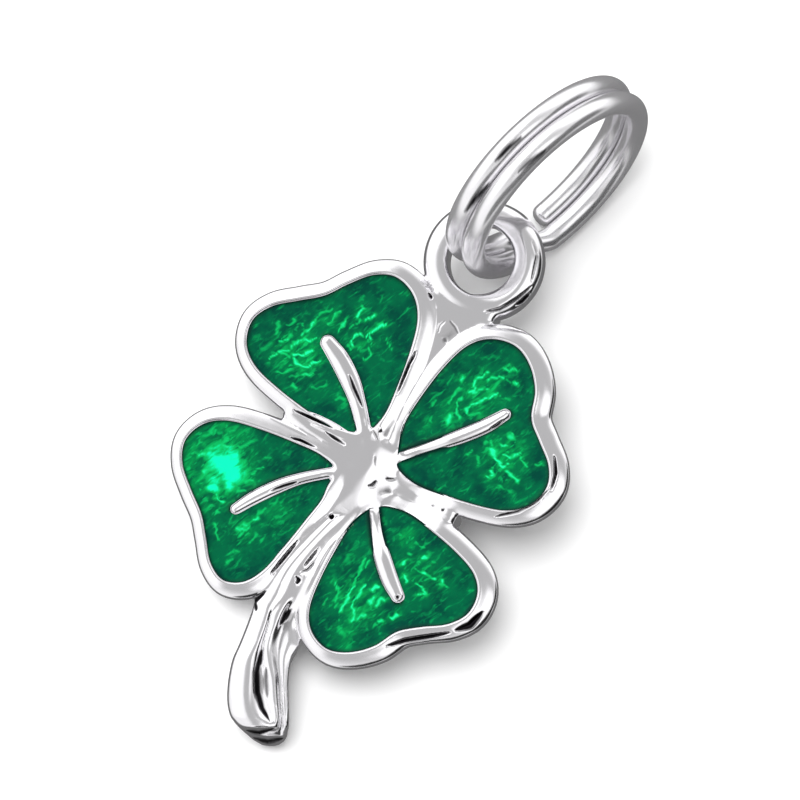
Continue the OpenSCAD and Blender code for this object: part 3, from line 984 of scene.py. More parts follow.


# Each leaf's foil: its folds, whose crests get painted highlights, its patches of painted
# reflection and its painted highlights
FOILS: dict[LeafPlace, Foil] = {
    LeafPlace.UPPER_LEFT: Foil(
        ((0.8, 1.3, 280, 342, 284, 340, 288, 339, 291, 336),
         (0.85, 1.2, 302, 335, 308, 329, 314, 323),
         (0.55, 1.2, 314, 323, 318, 316, 323, 312, 331, 310),
         (0.85, 1.3, 270, 359, 278, 352, 286, 351, 292, 346, 300, 340, 308, 341, 315, 338),
         (0.6, 1.5, 279, 352, 284, 354, 289, 356), (1.0, 1.4, 293, 355, 301, 355, 312, 351),
         (0.95, 1.4, 294, 358, 297, 363, 300, 366, 306, 367, 311, 364, 319, 361),
         (0.6, 1.2, 277, 373, 284, 372, 291, 369), (0.7, 1.2, 303, 375, 312, 374),
         (0.4, 1.2, 290, 377, 301, 375), (0.6, 1.4, 292, 385, 296, 388),
         (0.4, 1.4, 311, 387, 320, 388, 326, 385), (0.45, 1.6, 335, 400, 343, 398),
         (0.5, 1.3, 286, 326, 291, 324, 294, 319), (0.5, 1.5, 277, 334, 277, 328, 279, 321),
         (0.5, 1.2, 303, 326, 304, 321), (0.4, 1.2, 296, 329, 300, 323),
         (0.6, 1.1, 328, 325, 333, 318, 337, 313, 341, 311),
         (0.7, 1.2, 338, 331, 342, 326, 346, 320),
         (0.55, 1.2, 350, 327, 356, 324, 360, 319), (1.0, 1.4, 358, 315, 360, 312),
         (0.8, 1.2, 362, 308, 363, 307), (0.9, 1.2, 365, 320, 370, 317, 375, 316),
         (1.0, 1.3, 367, 337, 372, 331, 379, 327, 386, 323),
         (0.95, 1.1, 353, 346, 352, 340, 356, 335, 361, 334, 366, 336),
         (0.85, 1.1, 370, 338, 371, 344), (0.6, 1.1, 369, 348, 370, 355, 367, 360, 363, 359),
         (0.5, 1.2, 386, 338, 388, 344, 391, 349), (0.5, 1.4, 349, 346, 350, 350),
         (0.3, 1.3, 360, 301, 363, 298), (0.3, 1.3, 380, 302, 383, 298)),
        ((300, 355, 26, 0.9), (330, 318, 20, 0.4), (362, 340, 18, 0.6), (285, 345, 18, 0.6),
         (315, 385, 18, 0.3))),
    LeafPlace.RIGHT: Foil(
        ((0.9, 1.6, 469, 393, 474, 389, 474, 384, 478, 379, 487, 373),
         (1.0, 2.2, 470, 392, 473, 390), (0.8, 1.3, 472, 393, 480, 391, 484, 388, 489, 389),
         (0.8, 1.2, 487, 381, 493, 378, 499, 377, 503, 379),
         (0.4, 1.2, 507, 380, 514, 383, 519, 387), (0.9, 1.2, 514, 383, 516, 384),
         (1.0, 1.3, 474, 405, 481, 401, 489, 398, 497, 394),
         (0.85, 1.5, 466, 413, 468, 408, 474, 405), (0.55, 1.4, 466, 413, 472, 415, 480, 413),
         (0.6, 1.2, 450, 403, 452, 397, 456, 392, 460, 387), (0.8, 1.5, 461, 380, 463, 378),
         (0.7, 1.2, 459, 418, 457, 411, 457, 404, 463, 397),
         (0.85, 2.6, 448, 421, 451, 416), (0.4, 1.5, 452, 414, 453, 412),
         (0.45, 1.3, 432, 406, 435, 400), (0.45, 1.3, 431, 417, 431, 421),
         (0.3, 1.3, 432, 429, 432, 434), (0.7, 1.2, 504, 368, 510, 370, 516, 370),
         (0.5, 1.2, 504, 368, 509, 364), (0.3, 1.4, 482, 359, 492, 357, 501, 358),
         (0.45, 1.5, 501, 396, 508, 400), (1.0, 3.0, 492, 450, 493, 454),
         (0.6, 1.5, 490, 440, 493, 448), (1.0, 1.3, 493, 454, 498, 461, 504, 467, 511, 462),
         (0.75, 2.8, 509, 437, 512, 438), (0.7, 1.5, 511, 434, 513, 438),
         (0.85, 1.5, 502, 446, 506, 445), (0.85, 1.3, 504, 455, 511, 457, 520, 453),
         (0.7, 1.2, 519, 456, 523, 461, 526, 466), (0.5, 1.6, 484, 445, 487, 442),
         (0.5, 1.6, 468, 454, 471, 451), (0.5, 1.4, 477, 458, 479, 465),
         (0.9, 1.4, 487, 477, 492, 475, 492, 470), (0.8, 1.5, 506, 472, 512, 476, 518, 481),
         (0.45, 1.6, 498, 487, 503, 488), (0.4, 1.5, 509, 490, 511, 491),
         (0.5, 1.3, 536, 465, 542, 464)),
        ((482, 390, 22, 0.8), (478, 412, 16, 0.6), (455, 405, 16, 0.5), (505, 452, 22, 0.9),
         (502, 475, 18, 0.5), (412, 455, 12, 0.5), (430, 425, 22, 0.3))),
    LeafPlace.BOTTOM: Foil(
        ((0.9, 1.3, 341, 611, 344, 605, 349, 595, 353, 586),
         (0.6, 1.3, 353, 586, 357, 577, 361, 569, 364, 559),
         (0.9, 1.3, 350, 622, 355, 617, 353, 610, 353, 604, 355, 599, 360, 593, 365, 586),
         (0.95, 1.6, 364, 587, 366, 585), (0.8, 1.3, 355, 619, 361, 617, 366, 613),
         (1.0, 1.6, 372, 589, 378, 587), (0.9, 2.0, 369, 604, 372, 600, 374, 597),
         (0.8, 1.8, 377, 605, 379, 600, 384, 600), (0.55, 1.5, 335, 607, 337, 598, 338, 590),
         (0.7, 1.7, 335, 583, 338, 589), (0.6, 1.3, 366, 567, 370, 561),
         (0.3, 3.0, 348, 555, 348, 562), (0.9, 1.5, 391, 618, 397, 615),
         (0.8, 1.4, 379, 621, 382, 620), (0.5, 1.3, 373, 626, 376, 625),
         (0.5, 1.4, 337, 620, 339, 620), (0.4, 1.4, 324, 603, 327, 600),
         (0.4, 1.4, 330, 606, 331, 606), (0.4, 3.4, 339, 631, 342, 633),
         (1.0, 1.7, 403, 564, 406, 561), (1.0, 1.8, 405, 575, 406, 581),
         (1.0, 1.5, 422, 559, 426, 556), (0.5, 1.2, 415, 568, 423, 573, 436, 579),
         (1.0, 1.3, 423, 574, 425, 574), (0.9, 1.2, 434, 578, 436, 578),
         (1.0, 1.7, 441, 580, 442, 584), (0.6, 1.3, 446, 586, 447, 587),
         (0.8, 1.5, 418, 585, 420, 586), (0.8, 1.3, 419, 595, 425, 593, 424, 589),
         (0.5, 1.2, 415, 543, 419, 545, 423, 547), (0.6, 1.3, 408, 554, 410, 554),
         (0.5, 1.5, 417, 565, 419, 562), (0.4, 1.5, 445, 568, 450, 568),
         (0.3, 1.4, 412, 612, 415, 611), (0.4, 1.4, 433, 562, 436, 563)),
        ((358, 598, 26, 0.8), (372, 612, 18, 0.5), (407, 538, 11, 0.9), (422, 575, 24, 0.5),
         (345, 635, 18, 0.6), (352, 560, 16, 0.35))),
    LeafPlace.LEFT: Foil(
        ((0.9, 1.6, 199, 456, 206, 453, 212, 449, 220, 447, 230, 447),
         (0.9, 1.6, 203, 473, 208, 470, 218, 468), (1.0, 3.0, 213, 490, 213, 486, 217, 481),
         (1.0, 3.0, 229, 490, 230, 485, 236, 479), (0.8, 1.6, 216, 495, 219, 500, 222, 502),
         (0.5, 1.6, 210, 433, 213, 428), (0.4, 1.6, 217, 434, 221, 433),
         (0.6, 1.6, 225, 440, 228, 437), (0.5, 1.6, 230, 433, 235, 430),
         (0.5, 1.5, 238, 447, 247, 445, 254, 440), (0.6, 1.3, 252, 474, 258, 470, 263, 467),
         (0.6, 1.5, 245, 482, 253, 480), (0.5, 1.5, 238, 492, 245, 490),
         (0.4, 1.6, 266, 459, 270, 458), (0.9, 1.6, 254, 519, 258, 519),
         (0.5, 1.6, 258, 514, 262, 511, 265, 508), (0.75, 1.8, 237, 530, 249, 528),
         (0.7, 1.6, 244, 524, 247, 525), (0.6, 1.4, 239, 537, 243, 533),
         (0.6, 1.5, 215, 524, 216, 532, 218, 540), (0.6, 1.5, 215, 514, 218, 512),
         (0.55, 1.3, 249, 543, 253, 539, 257, 534), (0.5, 1.4, 261, 540, 265, 537),
         (0.5, 1.4, 227, 562, 232, 559), (0.4, 1.5, 271, 505, 278, 500),
         (0.35, 1.8, 275, 518, 285, 514), (0.4, 1.4, 234, 552, 238, 551)),
        ((212, 466, 46, 1.0), (222, 440, 30, 0.9), (245, 475, 22, 0.6), (245, 528, 18, 0.6),
         (280, 512, 22, 0.5), (208, 505, 20, 0.5)),
        ((224, 463, 19, 0.9), (232, 473, 14, 1.05), (212, 479, 9, 0.6), (233, 455, 9, 0.75),
         (229, 485, 6, 0.9), (210, 456, 9, 0.55), (213, 488, 6, 0.9))),
}


@dataclass
class EnamelField:
    """One leaf's enamel: a glassy field round the vein, with a small rise at its edges."""

    leaf: Leaf
    along: int = 430
    across: int = 62
    # In mm: how far it goes into the silver, how far it rises there and over what width, how far
    # its face is raised in all, and how wide the painted shade along its edge is
    bite: float = 0.03
    rise: float = 0.04
    rise_width: float = 0.07
    lift: float = 0.11
    edge_width: float = 0.12
    # How much closer the grid's lines lie at its edges
    crowding: float = 0.12

    def outer_line(self) -> list[Vector]:
        """The field's outer edge from the tip's left side round to its right side."""
        outline = self.leaf.outline(16)
        grown = moved_out(outline, self.bite, 0.0)
        count = len(grown)
        half = SIZES.vein_width * 0.25
        start = next(i for i in range(count) if grown[-1 - i].x < -half)
        finish = next(i for i in range(count) if grown[i].x > half)
        line = grown[finish:count - start]
        line.reverse()
        return line

    def inner_line(self) -> list[Vector]:
        """The vein's left side, its end and its right side."""
        rows = self.leaf.vein_rows(8)
        left, right = [], []
        tip_y = self.outer_line()[0].y
        for i, (x, y, width) in enumerate(rows):
            if y < tip_y:
                continue
            along = heading_at(rows, i)
            side = Vector((along.y, -along.x)) * (width / 2 - self.bite)
            left.append(Vector((x - side.x, y - side.y, 0)))
            right.append(Vector((x + side.x, y + side.y, 0)))
        end = Vector((rows[-1][0], rows[-1][1], 0))
        radius = rows[-1][2] / 2 - self.bite
        direction = Vector((rows[-1][0] - rows[-2][0], rows[-1][1] - rows[-2][1], 0)).normalized()
        side = Vector((direction.y, -direction.x, 0))
        cap = [end + radius * (direction * math.sin(a) - side * math.cos(a))
               for a in (math.pi * k / 8 for k in range(1, 8))]
        return [*left, *cap, *reversed(right)]

    @staticmethod
    def spaced(line: Sequence[Vector], count: int) -> list[Vector]:
        """Points at even spacing along a line."""
        lengths = [0.0]
        for a, b in zip(line, line[1:]):
            lengths.append(lengths[-1] + (b - a).length)
        points, k = [], 0
        for i in range(count + 1):
            target = lengths[-1] * i / count
            while k < len(line) - 2 and lengths[k + 1] < target:
                k += 1
            span = lengths[k + 1] - lengths[k]
            points.append(line[k].lerp(line[k + 1], (target - lengths[k]) / span if span else 0))
        return points

    def build(self) -> bpy.types.Object:
        """Lays a grid between the rim and the vein, raises its edges and gives it depth."""
        s = SIZES
        outer = self.spaced(self.outer_line(), self.along)
        inner = self.spaced(self.inner_line(), self.along)
        Bench.clear()
        bpy.ops.mesh.primitive_grid_add(x_subdivisions=self.along, y_subdivisions=self.across,
                                        size=1.0)
        field_object = bpy.context.object
        bpy.ops.object.mode_set(mode="EDIT")
        mesh = bmesh.from_edit_mesh(field_object.data)
        depth = mesh.verts.layers.float.new("painted_edge_shade")
        for vertex in mesh.verts:
            u = round((vertex.co.x + 0.5) * self.along)
            v = vertex.co.y + 0.5
            share = v - self.crowding * math.sin(2 * math.pi * v)
            point = outer[u].lerp(inner[u], share)
            gap = min((point - outer[u]).length, (point - inner[u]).length) - self.bite
            lift = self.rise * math.exp(-max(0.0, gap) / self.rise_width)
            # How strongly the painted shade along the edge falls here
            vertex[depth] = math.exp(-max(0.0, gap) / self.edge_width)
            flat = self.leaf.form.to_flat(point)
            vertex.co = Vector((flat.x, flat.y, s.enamel_top + self.lift + lift))
        bmesh.update_edit_mesh(field_object.data)
        bpy.ops.mesh.select_all(action="SELECT")
        bpy.ops.mesh.extrude_region_move()
        mesh = bmesh.from_edit_mesh(field_object.data)
        for vertex in mesh.verts:
            if vertex.select:
                vertex.co.z = s.enamel_top - s.enamel_thickness
        bmesh.update_edit_mesh(field_object.data)
        bpy.ops.mesh.dissolve_faces()
        bpy.ops.mesh.select_all(action="SELECT")
        bpy.ops.mesh.normals_make_consistent(inside=False)
        bpy.ops.object.mode_set(mode="OBJECT")
        field_object.name = field_object.data.name = f"{self.leaf.place.node}_glass"
        self.lay_foil(field_object.data)
        Bench.smooth(field_object, 40)
        return field_object

    def lay_foil(self, mesh: bpy.types.Mesh) -> None:
        """Stores on the mesh how the foil under the enamel lies and where its painted highlights
        and reflections go, for its material.
        """
        foil = FOILS[self.leaf.place]
        points = read_vectors(mesh, "co")
        seen = VIEW.pixels(points)
        c, s = cos_sin(foil.streaks)
        along = np.array((c, -s))
        streaked = np.stack((foil.stretch * seen @ along, seen @ np.array((-along[1], along[0])),
                             np.zeros(len(seen))), axis=1) / VIEW.per_mm
        folds, shine = foil.creases(seen)
        store(mesh, "flat", points * np.array((1, 1, 0)))
        store(mesh, "streaked", streaked)
        store(mesh, "fold", folds)
        store(mesh, "foil", np.maximum(shine, foil.spots(foil.patches, seen)))
        store(mesh, "painted_highlight", foil.spots(foil.gleams, seen))


@dataclass
class SplitRing:
    """The split ring: a round wire wound twice, whose second turn lies beside the first."""

    centre: tuple[float, float, float] = (0.201873, 8.3793, 1.45)
    axis: tuple[float, float, float] = (0.952679, -0.255269, 0.165048)
    heading: float = 15.0
    wire_start: float = 251.0
    step_span: float = 26.0
    end_gap: float = 1.5
    sides: int = 40
    turn_steps: int = 260
    # The full wire begins so many degrees on, past its rounded end: size and way ahead in mm
    first_turned: float = 5.0
    rounding: tuple[Pixel, ...] = ((0.35, 0.0), (0.62, 0.025), (0.82, 0.07), (0.94, 0.13),
                                   (0.99, 0.2))
    # Streaks of painted dark reflection along the wire, at their places in the picture
    marks: list[Mark] = field(default_factory=lambda: Mark.table([
        (3.4, 0.0, 0.75, 494, 164, 507, 150, 523, 137),
        (3.6, 0.0, 0.7, 464, 214, 474, 201, 489, 184),
        (3.2, 0.0, 0.6, 516, 175, 530, 162, 546, 151),
        (3.0, 0.0, 1.0, 566, 208, 590, 184, 604, 162, 612, 140),
        (3.0, 0.0, 0.9, 538, 229, 550, 223, 564, 211)]))

    def build(self) -> bpy.types.Object:
        """Draws the wire's section and spins it round, over the step and round again."""
        s = SIZES
        centre, axis = Vector(self.centre), Vector(self.axis).normalized()
        out_c, out_s = cos_sin(self.heading)
        out = Vector((out_s, out_c, 0.0))
        up = axis.cross(out)
        sweep = 720 - self.step_span - 2 * self.end_gap

        def section(turned: float, size: float, ahead: float) -> list[Vector]:
            """The wire's ring of points at an angle from the start of the wire."""
            cosine, sine = cos_sin(self.wire_start + turned)
            radial = out * cosine + up * sine
            forward = up * cosine - out * sine
            step = (turned - (360 - self.step_span - self.end_gap)) / self.step_span
            middle = (centre + radial * s.ring_mid + forward * ahead
                      + axis * s.turn_pitch * (smooth_step(step) - 0.5))
            return [middle + (radial * math.cos(b) + axis * math.sin(b)) * s.ring_wire / 2 * size
                    for b in (-2 * math.pi * k / self.sides for k in range(self.sides))]

        angles = [sweep * k / (2 * self.turn_steps) for k in range(2 * self.turn_steps + 1)]
        rings = [section(0.0, size, ahead) for size, ahead in self.rounding]
        rings += [section(a, 1.0, 0.0) for a in angles if a > self.first_turned]
        rings += [section(sweep, size, -ahead) for size, ahead in reversed(self.rounding)]
        ring = Bench.lofted("split_ring_wire", rings)
        # Paints the dark reflections onto the wire
        Clay(ring).stain(self.marks)
        Bench.smooth(ring, 50)
        return ring


class Nodes:
    """A small helper that adds and links the nodes of a material or of the world."""

    def __init__(self, tree: bpy.types.NodeTree) -> None:
        """Starts from an empty tree."""
        self.tree = tree
        tree.nodes.clear()

    def add(self, kind: str, settings: dict[str, object] | None = None,
            **inputs: object) -> bpy.types.Node:
        """Adds a node, sets its properties and fills or links its inputs by name."""
        node = self.tree.nodes.new(kind)
        for key, value in (settings or {}).items():
            setattr(node, key, value)
        for key, value in inputs.items():
            name = key.replace("_", " ")
            socket = next(i for i in node.inputs if i.name.lower() == name.lower() and i.enabled)
            self.put(socket, value)
        return node

    @classmethod
    def material(cls, name: str) -> tuple[bpy.types.Material, "Nodes"]:
        """A new material and its empty tree."""
        material = bpy.data.materials.new(name)
        material.use_nodes = True
        return material, cls(material.node_tree)

    def attribute(self, name: str, output: str = "Fac") -> bpy.types.NodeSocket:
        """One of the mesh's own attributes."""
        return self.add("ShaderNodeAttribute", {"attribute_name": name}).outputs[output]

    def noise(self, place: bpy.types.NodeSocket, scale: float, detail: float,
              distortion: float = 0.0) -> bpy.types.NodeSocket:
        """Cloudy noise."""
        return self.add("ShaderNodeTexNoise", Vector=place, Scale=scale, Detail=detail,
                        Distortion=distortion).outputs[0]

    def ramp(self, value: bpy.types.NodeSocket, low: float, high: float, to_low: object = 0.0,
             to_high: object = 1.0) -> bpy.types.NodeSocket:
        """A smooth rise between two levels of a value."""
        node = self.add("ShaderNodeMapRange", {"interpolation_type": "SMOOTHSTEP"}, Value=value)
        for key, number in (("From Min", low), ("From Max", high), ("To Min", to_low),
                            ("To Max", to_high)):
            self.put(node.inputs[key], number)
        return node.outputs[0]

    def math(self, operation: str, *values: object) -> bpy.types.NodeSocket:
        """A sum on values."""
        node = self.add("ShaderNodeMath", {"operation": operation})
        for socket, value in zip(node.inputs, values):
            self.put(socket, value)
        return node.outputs[0]

    def times(self, one: object, other: object) -> bpy.types.NodeSocket:
        """One value times another."""
        return self.math("MULTIPLY", one, other)

    def plus(self, one: object, other: object) -> bpy.types.NodeSocket:
        """One value plus another."""
        return self.math("ADD", one, other)

    def blend(self, share: object, base: object, other: object) -> bpy.types.NodeSocket:
        """One colour mixed into another."""
        node = self.add("ShaderNodeMix", {"data_type": "RGBA"})
        self.put(node.inputs["Factor"], share)
        for key, colour in (("A", base), ("B", other)):
            socket = next(i for i in node.inputs if i.name == key and i.type == "RGBA")
            self.put(socket, (*colour, 1) if isinstance(colour, tuple) else colour)
        return next(o for o in node.outputs if o.type == "RGBA")

    def put(self, socket: bpy.types.NodeSocket, value: object) -> None:
        """Links an output to a socket, or sets the socket's value."""
        if isinstance(value, bpy.types.NodeSocket):
            self.tree.links.new(value, socket)
        else:
            socket.default_value = value


class HandPolish:
    """The look that all the silver shares: waves, haze, fine scratches, and painted shade and
    dark reflections.
    """

    NAME = "hand_polish"
    INPUTS = (("Place", "Vector"), ("Stain", "Float"), ("Bright", "Color"), ("Shade", "Color"),
              ("Tarnish", "Color"), ("Roughness", "Float"), ("Haze", "Float"), ("Wave", "Float"))
    OUTPUTS = (("Color", "Color"), ("Roughness", "Float"), ("Normal", "Vector"))

    @classmethod
    def group(cls) -> bpy.types.NodeTree:
        """The group of nodes, built when it is first asked for."""
        if cls.NAME in bpy.data.node_groups:
            return bpy.data.node_groups[cls.NAME]
        tree = bpy.data.node_groups.new(cls.NAME, "ShaderNodeTree")
        for way, sockets in (("INPUT", cls.INPUTS), ("OUTPUT", cls.OUTPUTS)):
            for name, kind in sockets:
                tree.interface.new_socket(name=name, in_out=way,
                                          socket_type=f"NodeSocket{kind}")
        n = Nodes(tree)
        given = n.add("NodeGroupInput").outputs
        waves = n.noise(given["Place"], 900.0, 2.0)
        cloud = n.noise(given["Place"], 420.0, 4.0)
        scratch = n.noise(given["Place"], 9000.0, 3.0)
        colour = n.blend(cloud, given["Bright"], given["Shade"])
        # Painted shade and painted dark reflections, where the mesh's mask asks for them
        colour = n.blend(given["Stain"], colour, given["Tarnish"])
        rough = n.ramp(cloud, 0.35, 0.7, given["Roughness"],
                       n.plus(given["Roughness"], given["Haze"]))
        wave = n.add("ShaderNodeBump", Height=waves, Strength=given["Wave"], Distance=1e-4)
        fine = n.add("ShaderNodeBump", Height=scratch, Strength=0.02, Distance=2e-5,
                     Normal=wave.outputs[0])
        n.add("NodeGroupOutput", Color=colour, Roughness=rough, Normal=fine.outputs[0])
        return tree


@dataclass(frozen=True)
class PolishedSilver:
    """Bright silver, polished by hand, with painted shade in its recesses and painted dark
    reflections.
    """

    name: str = "polished_silver"
    colour: Colour = (0.935, 0.925, 0.945)
    shade: Colour = (0.855, 0.845, 0.87)
    # The colour of the painted shade and dark reflections
    tarnish: Colour = (0.012, 0.011, 0.013)
    roughness: float = 0.09
    haze: float = 0.07
    wave: float = 0.05
    metallic: float = 1.0

    def make(self) -> bpy.types.Material:
        """Builds the material."""
        material, n = Nodes.material(self.name)
        polish = n.add("ShaderNodeGroup", {"node_tree": HandPolish.group()},
                       Place=n.add("ShaderNodeTexCoord").outputs["Object"],
                       Stain=n.attribute("stain"), Bright=(*self.colour, 1),
                       Shade=(*self.shade, 1), Tarnish=(*self.tarnish, 1),
                       Roughness=self.roughness, Haze=self.haze, Wave=self.wave).outputs
        shader = n.add("ShaderNodeBsdfPrincipled", Base_Color=polish["Color"],
                       Metallic=self.metallic, Roughness=polish["Roughness"],
                       Normal=polish["Normal"])
        n.add("ShaderNodeOutputMaterial", Surface=shader.outputs[0])
        return material


@dataclass(frozen=True)
class GreenEnamel:
    """Emerald enamel over crumpled foil, under a clear polished glaze, with painted highlights
    and reflections on the foil and painted shade at its edges.
    """

    name: str = "emerald_enamel"
    deep: Colour = (0.0, 0.05, 0.032)
    body: Colour = (0.0, 0.105, 0.042)
    # Lighter greens, painted in for the foil's reflections and highlights
    warm: Colour = (0.001, 0.24, 0.055)
    fold: Colour = (0.003, 0.42, 0.1)
    crest: Colour = (0.012, 0.8, 0.33)
    gleam: Colour = (0.004, 0.83, 0.42)
    # The colour of the painted shade along the enamel's edge
    edge: Colour = (0.0, 0.016, 0.012)

    def make(self) -> bpy.types.Material:
        """Builds the material."""
        material, n = Nodes.material(self.name)
        flat = n.attribute("flat", "Vector")
        fold, foil, painted_highlight, edge = (n.attribute(key)
                                  for key in ("fold", "foil", "painted_highlight", "painted_edge_shade"))
        # Clouds in the glass, and the grain of the foil where it shows through, painted lighter
        # as a reflection
        streaked = n.attribute("streaked", "Vector")
        cloud = n.noise(flat, 1.5, 3.0)
        grain = n.noise(streaked, 7.0, 4.0, 0.8)
        fine = n.noise(streaked, 19.0, 2.0, 0.4)
        colour = n.blend(n.ramp(cloud, 0.36, 0.64), self.deep, self.body)
        shine = n.times(n.ramp(foil, 0.02, 0.75), n.ramp(grain, 0.3, 0.66, 0.15, 1.0))
        colour = n.blend(shine, colour, self.warm)
        mottle = n.times(n.ramp(fine, 0.45, 0.72, 0.0, 0.55),
                         n.times(n.ramp(grain, 0.35, 0.65), n.ramp(foil, 0.0, 0.5, 0.3, 1.0)))
        colour = n.blend(mottle, colour, self.warm)
        # Faint small creases with painted glints, then the folds, with painted highlights along
        # their crests
        creased = n.noise(streaked, 10.0, 2.0, 0.5)
        small = n.times(n.ramp(creased, 0.56, 0.68), n.ramp(foil, 0.1, 0.7, 0.1, 0.85))
        colour = n.blend(small, colour, self.fold)
        ragged = n.plus(fold, n.times(n.math("SUBTRACT", grain, 0.5), 0.35))
        colour = n.blend(n.ramp(ragged, 0.06, 0.6), colour, self.fold)
        colour = n.blend(n.ramp(ragged, 0.45, 1.0), colour, self.crest)
        # The one painted highlight, ragged like the folds
        broken = n.plus(painted_highlight, n.times(n.math("SUBTRACT", grain, 0.5), 1.35))
        colour = n.blend(n.ramp(broken, 0.05, 0.5, 0.0, 0.95), colour, self.fold)
        colour = n.blend(n.ramp(broken, 0.36, 0.76, 0.0, 0.95), colour, self.gleam)
        # Painted shade along the enamel's edge, next to the silver walls
        colour = n.blend(n.ramp(edge, 0.25, 1.0), colour, self.edge)
        bump = n.add("ShaderNodeBump", Height=fold, Strength=0.35, Distance=4e-5)
        shader = n.add("ShaderNodeBsdfPrincipled", Base_Color=colour, Metallic=0.15,
                       Roughness=0.35, Normal=bump.outputs[0], Specular_IOR_Level=0.0,
                       Coat_IOR=1.28, Coat_Weight=0.35, Coat_Roughness=0.03)
        n.add("ShaderNodeOutputMaterial", Surface=shader.outputs[0])
        return material


@dataclass(frozen=True)
class SkyPatch:
    """A soft-edged patch of the room's light.

    Its middle leans so many degrees from straight overhead towards a bearing, which is
    counted from the picture's right, anticlockwise.
    """

    bearing: float
    lean: float
    inner: float
    outer: float
    light: float


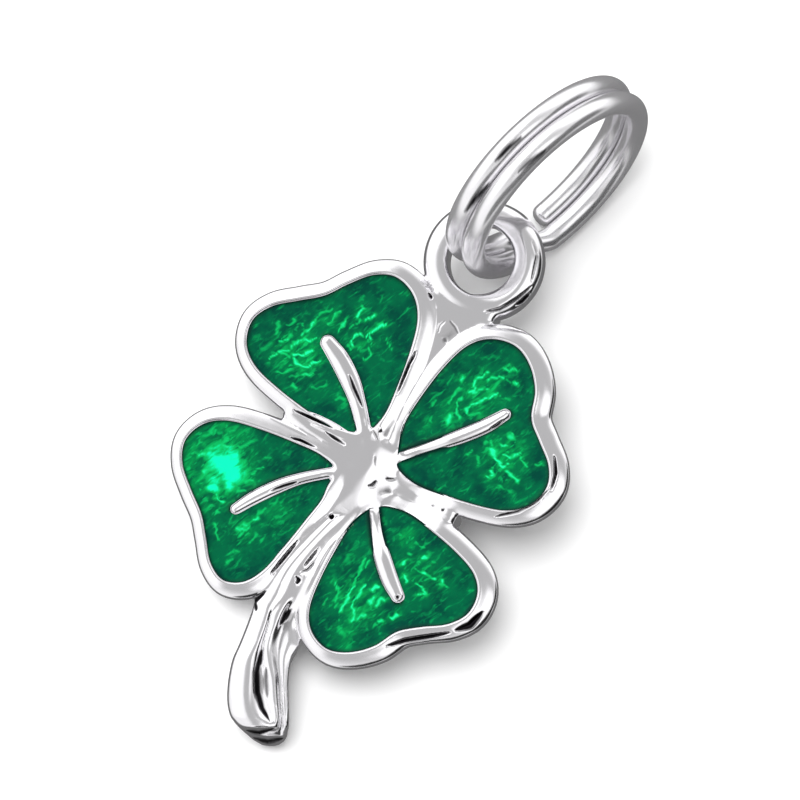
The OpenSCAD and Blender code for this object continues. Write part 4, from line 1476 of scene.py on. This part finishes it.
@dataclass
class Studio:
    """A pale floor, soft lights and a long-lens camera over the pendant."""

    lie: Lie = LIE
    frame_width: float = 19.75
    distance: float = 420.0
    sensor: float = 36.0
    # Of the clover's middle in the picture, from its centre, in frame widths
    offset: tuple[float, float] = (-0.0375, -0.08375)
    # In metres from the clover
    light_distance: float = 0.6
    # The room's light, and between which heights of a direction it changes
    overhead: float = 0.52
    horizon: float = 1.0
    underneath: float = 0.16
    overhead_span: Pixel = (0.45, 0.93)
    underneath_span: Pixel = (-0.35, 0.02)
    patches: list[SkyPatch] = field(default_factory=lambda: [
        SkyPatch(135.0, 62.0, 26.0, 43.0, 1.5),
        SkyPatch(60.0, 68.0, 20.0, 40.0, 1.3),
        SkyPatch(190.0, 52.0, 14.0, 28.0, 1.15),
        SkyPatch(-45.0, 26.0, 18.0, 27.0, 1.25),
        SkyPatch(-45.0, 68.0, 22.0, 36.0, 0.02),
        SkyPatch(-5.0, 72.0, 16.0, 26.0, 0.03),
        SkyPatch(-85.0, 72.0, 16.0, 26.0, 0.05)])

    def level_axes(self) -> tuple[Vector, Vector]:
        """The picture's right and up, level with the floor."""
        right, _, _ = VIEW.axes()
        turn = self.lie.turn.to_3x3()
        level_right = (turn @ right) * Vector((1, 1, 0))
        level_right.normalize()
        return level_right, Vector((-level_right.y, level_right.x, 0))

    def towards(self, bearing: float, lean: float) -> Vector:
        """The way to a bearing from the picture's right, leaning from straight overhead."""
        right, up = self.level_axes()
        bearing_c, bearing_s = cos_sin(bearing)
        lean_c, lean_s = cos_sin(lean)
        return lean_s * (right * bearing_c + up * bearing_s) + Vector((0, 0, lean_c))

    def camera(self) -> None:
        """Places the camera where the photograph was taken from."""
        right, up, back = VIEW.axes()
        target = (Vector((0, 0, SIZES.plate_height)) - right * self.offset[0] * self.frame_width
                  - up * self.offset[1] * self.frame_width)
        data = bpy.data.cameras.new("camera")
        data.sensor_width = self.sensor
        data.lens = self.sensor * self.distance / self.frame_width
        data.clip_start, data.clip_end = 0.01, 10.0
        camera = bpy.data.objects.new("camera", data)
        bpy.context.scene.collection.objects.link(camera)
        turn = self.lie.turn.to_3x3()
        columns = Matrix((turn @ right, turn @ up, turn @ back)).transposed()
        matrix = columns.to_4x4()
        matrix.translation = self.lie.matrix @ (target + back * self.distance)
        camera.matrix_world = matrix
        bpy.context.scene.camera = camera

    def floor(self) -> None:
        """A pale floor that fades into the background."""
        Bench.clear()
        bpy.ops.mesh.primitive_plane_add(size=2.0, location=(0, 0, 0))
        floor = bpy.context.object
        floor.name = floor.data.name = "floor"
        material, n = Nodes.material("pale_floor")
        shader = n.add("ShaderNodeBsdfPrincipled", Base_Color=(0.93, 0.93, 0.93, 1),
                       Roughness=0.9)
        n.add("ShaderNodeOutputMaterial", Surface=shader.outputs[0])
        floor.data.materials.append(material)
        floor.visible_glossy = False

    def floor_light(self, bearing: float, lean: float, size: float, light: float) -> None:
        """A large soft light that falls on the floor and the enamel, but isn't mirrored.

        Args:
            bearing: where it stands, in degrees from the picture's right, anticlockwise.
            lean: its angle from straight overhead, in degrees.
            size: its width as a share of its distance.
            light: how bright it makes the floor.
        """
        distance = self.light_distance
        way = self.towards(bearing, lean)
        data = bpy.data.lights.new("floor_light", "AREA")
        data.shape = "DISK"
        data.size = size * distance
        data.energy = light * math.pi ** 2 * distance ** 2 / math.cos(math.radians(lean))
        lamp = bpy.data.objects.new("floor_light", data)
        bpy.context.scene.collection.objects.link(lamp)
        lamp.location = way * distance
        lamp.rotation_mode = "QUATERNION"
        lamp.rotation_quaternion = way.to_track_quat("Z", "Y")
        lamp.visible_camera = False
        lamp.visible_glossy = False

    def sky(self) -> None:
        """The room's light: grey overhead, white softboxes, a dark wall on one side."""
        world = bpy.data.worlds.new("room")
        bpy.context.scene.world = world
        world.use_nodes = True
        n = Nodes(world.node_tree)
        way = n.add("ShaderNodeTexCoord").outputs["Generated"]
        height = n.add("ShaderNodeSeparateXYZ", Vector=way).outputs["Z"]
        light = n.times(n.ramp(height, *self.overhead_span, self.horizon, self.overhead),
                        n.ramp(height, *self.underneath_span,
                               self.underneath / self.horizon, 1.0))
        for patch in self.patches:
            near = n.add("ShaderNodeVectorMath", {"operation": "DOT_PRODUCT"})
            n.put(near.inputs[0], way)
            near.inputs[1].default_value = self.towards(patch.bearing, patch.lean)
            mask = n.ramp(near.outputs["Value"], cos_sin(patch.outer)[0], cos_sin(patch.inner)[0])
            mixed = n.add("ShaderNodeMix", {"data_type": "FLOAT"})
            n.put(mixed.inputs["Factor"], mask)
            n.put(mixed.inputs["A"], light)
            mixed.inputs["B"].default_value = patch.light
            light = mixed.outputs["Result"]
        colour = n.add("ShaderNodeCombineColor", Red=light, Green=light, Blue=light)
        background = n.add("ShaderNodeBackground", Color=colour.outputs[0], Strength=1.0)
        n.add("ShaderNodeOutputWorld", Surface=background.outputs[0])

    def build(self) -> None:
        """Builds the whole studio."""
        self.floor()
        self.sky()
        self.floor_light(bearing=135.0, lean=14.0, size=0.6, light=0.75)
        self.camera()
        bpy.context.scene.view_settings.view_transform = "Standard"


@dataclass
class Pendant:
    """All the pieces, each dressed and put in the place of its node."""

    silver: PolishedSilver = PolishedSilver()
    wire: PolishedSilver = PolishedSilver("drawn_wire", roughness=0.2, haze=0.05, metallic=0.86)
    enamel: GreenEnamel = GreenEnamel()

    def dress(self, piece: bpy.types.Object, material: bpy.types.Material, slot: Slot,
              *nodes: str) -> None:
        """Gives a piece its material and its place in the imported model."""
        piece.data.materials.clear()
        piece.data.materials.append(material)
        LIE.lay_down(piece)
        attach(piece, "root")
        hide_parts(*nodes)
        LOG.info("%s: %d faces", piece.name, len(piece.data.polygons))

    def build(self) -> None:
        """Builds and dresses each piece in turn."""
        silver, enamel = self.silver.make(), self.enamel.make()
        self.dress(CastFrame().build(), silver, Slot.SILVER, "cast_frame")
        for place in LeafPlace:
            glass = EnamelField(Leaf(place)).build()
            self.dress(glass, enamel, Slot.ENAMEL, place.node)
            glass.visible_glossy = False
        self.dress(SplitRing().build(), self.wire.make(), Slot.WIRE, "split_ring")


def corners(bounds: tuple[Vector, Vector]) -> list[list[float]]:
    """The two corners of a box as plain lists."""
    return [list(corner) for corner in bounds]


def main() -> None:
    """Builds the pendant and its studio."""
    logging.basicConfig(level=logging.INFO)
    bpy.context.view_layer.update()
    Pendant().build()
    Studio().build()


if __name__ == "__main__":
    main()
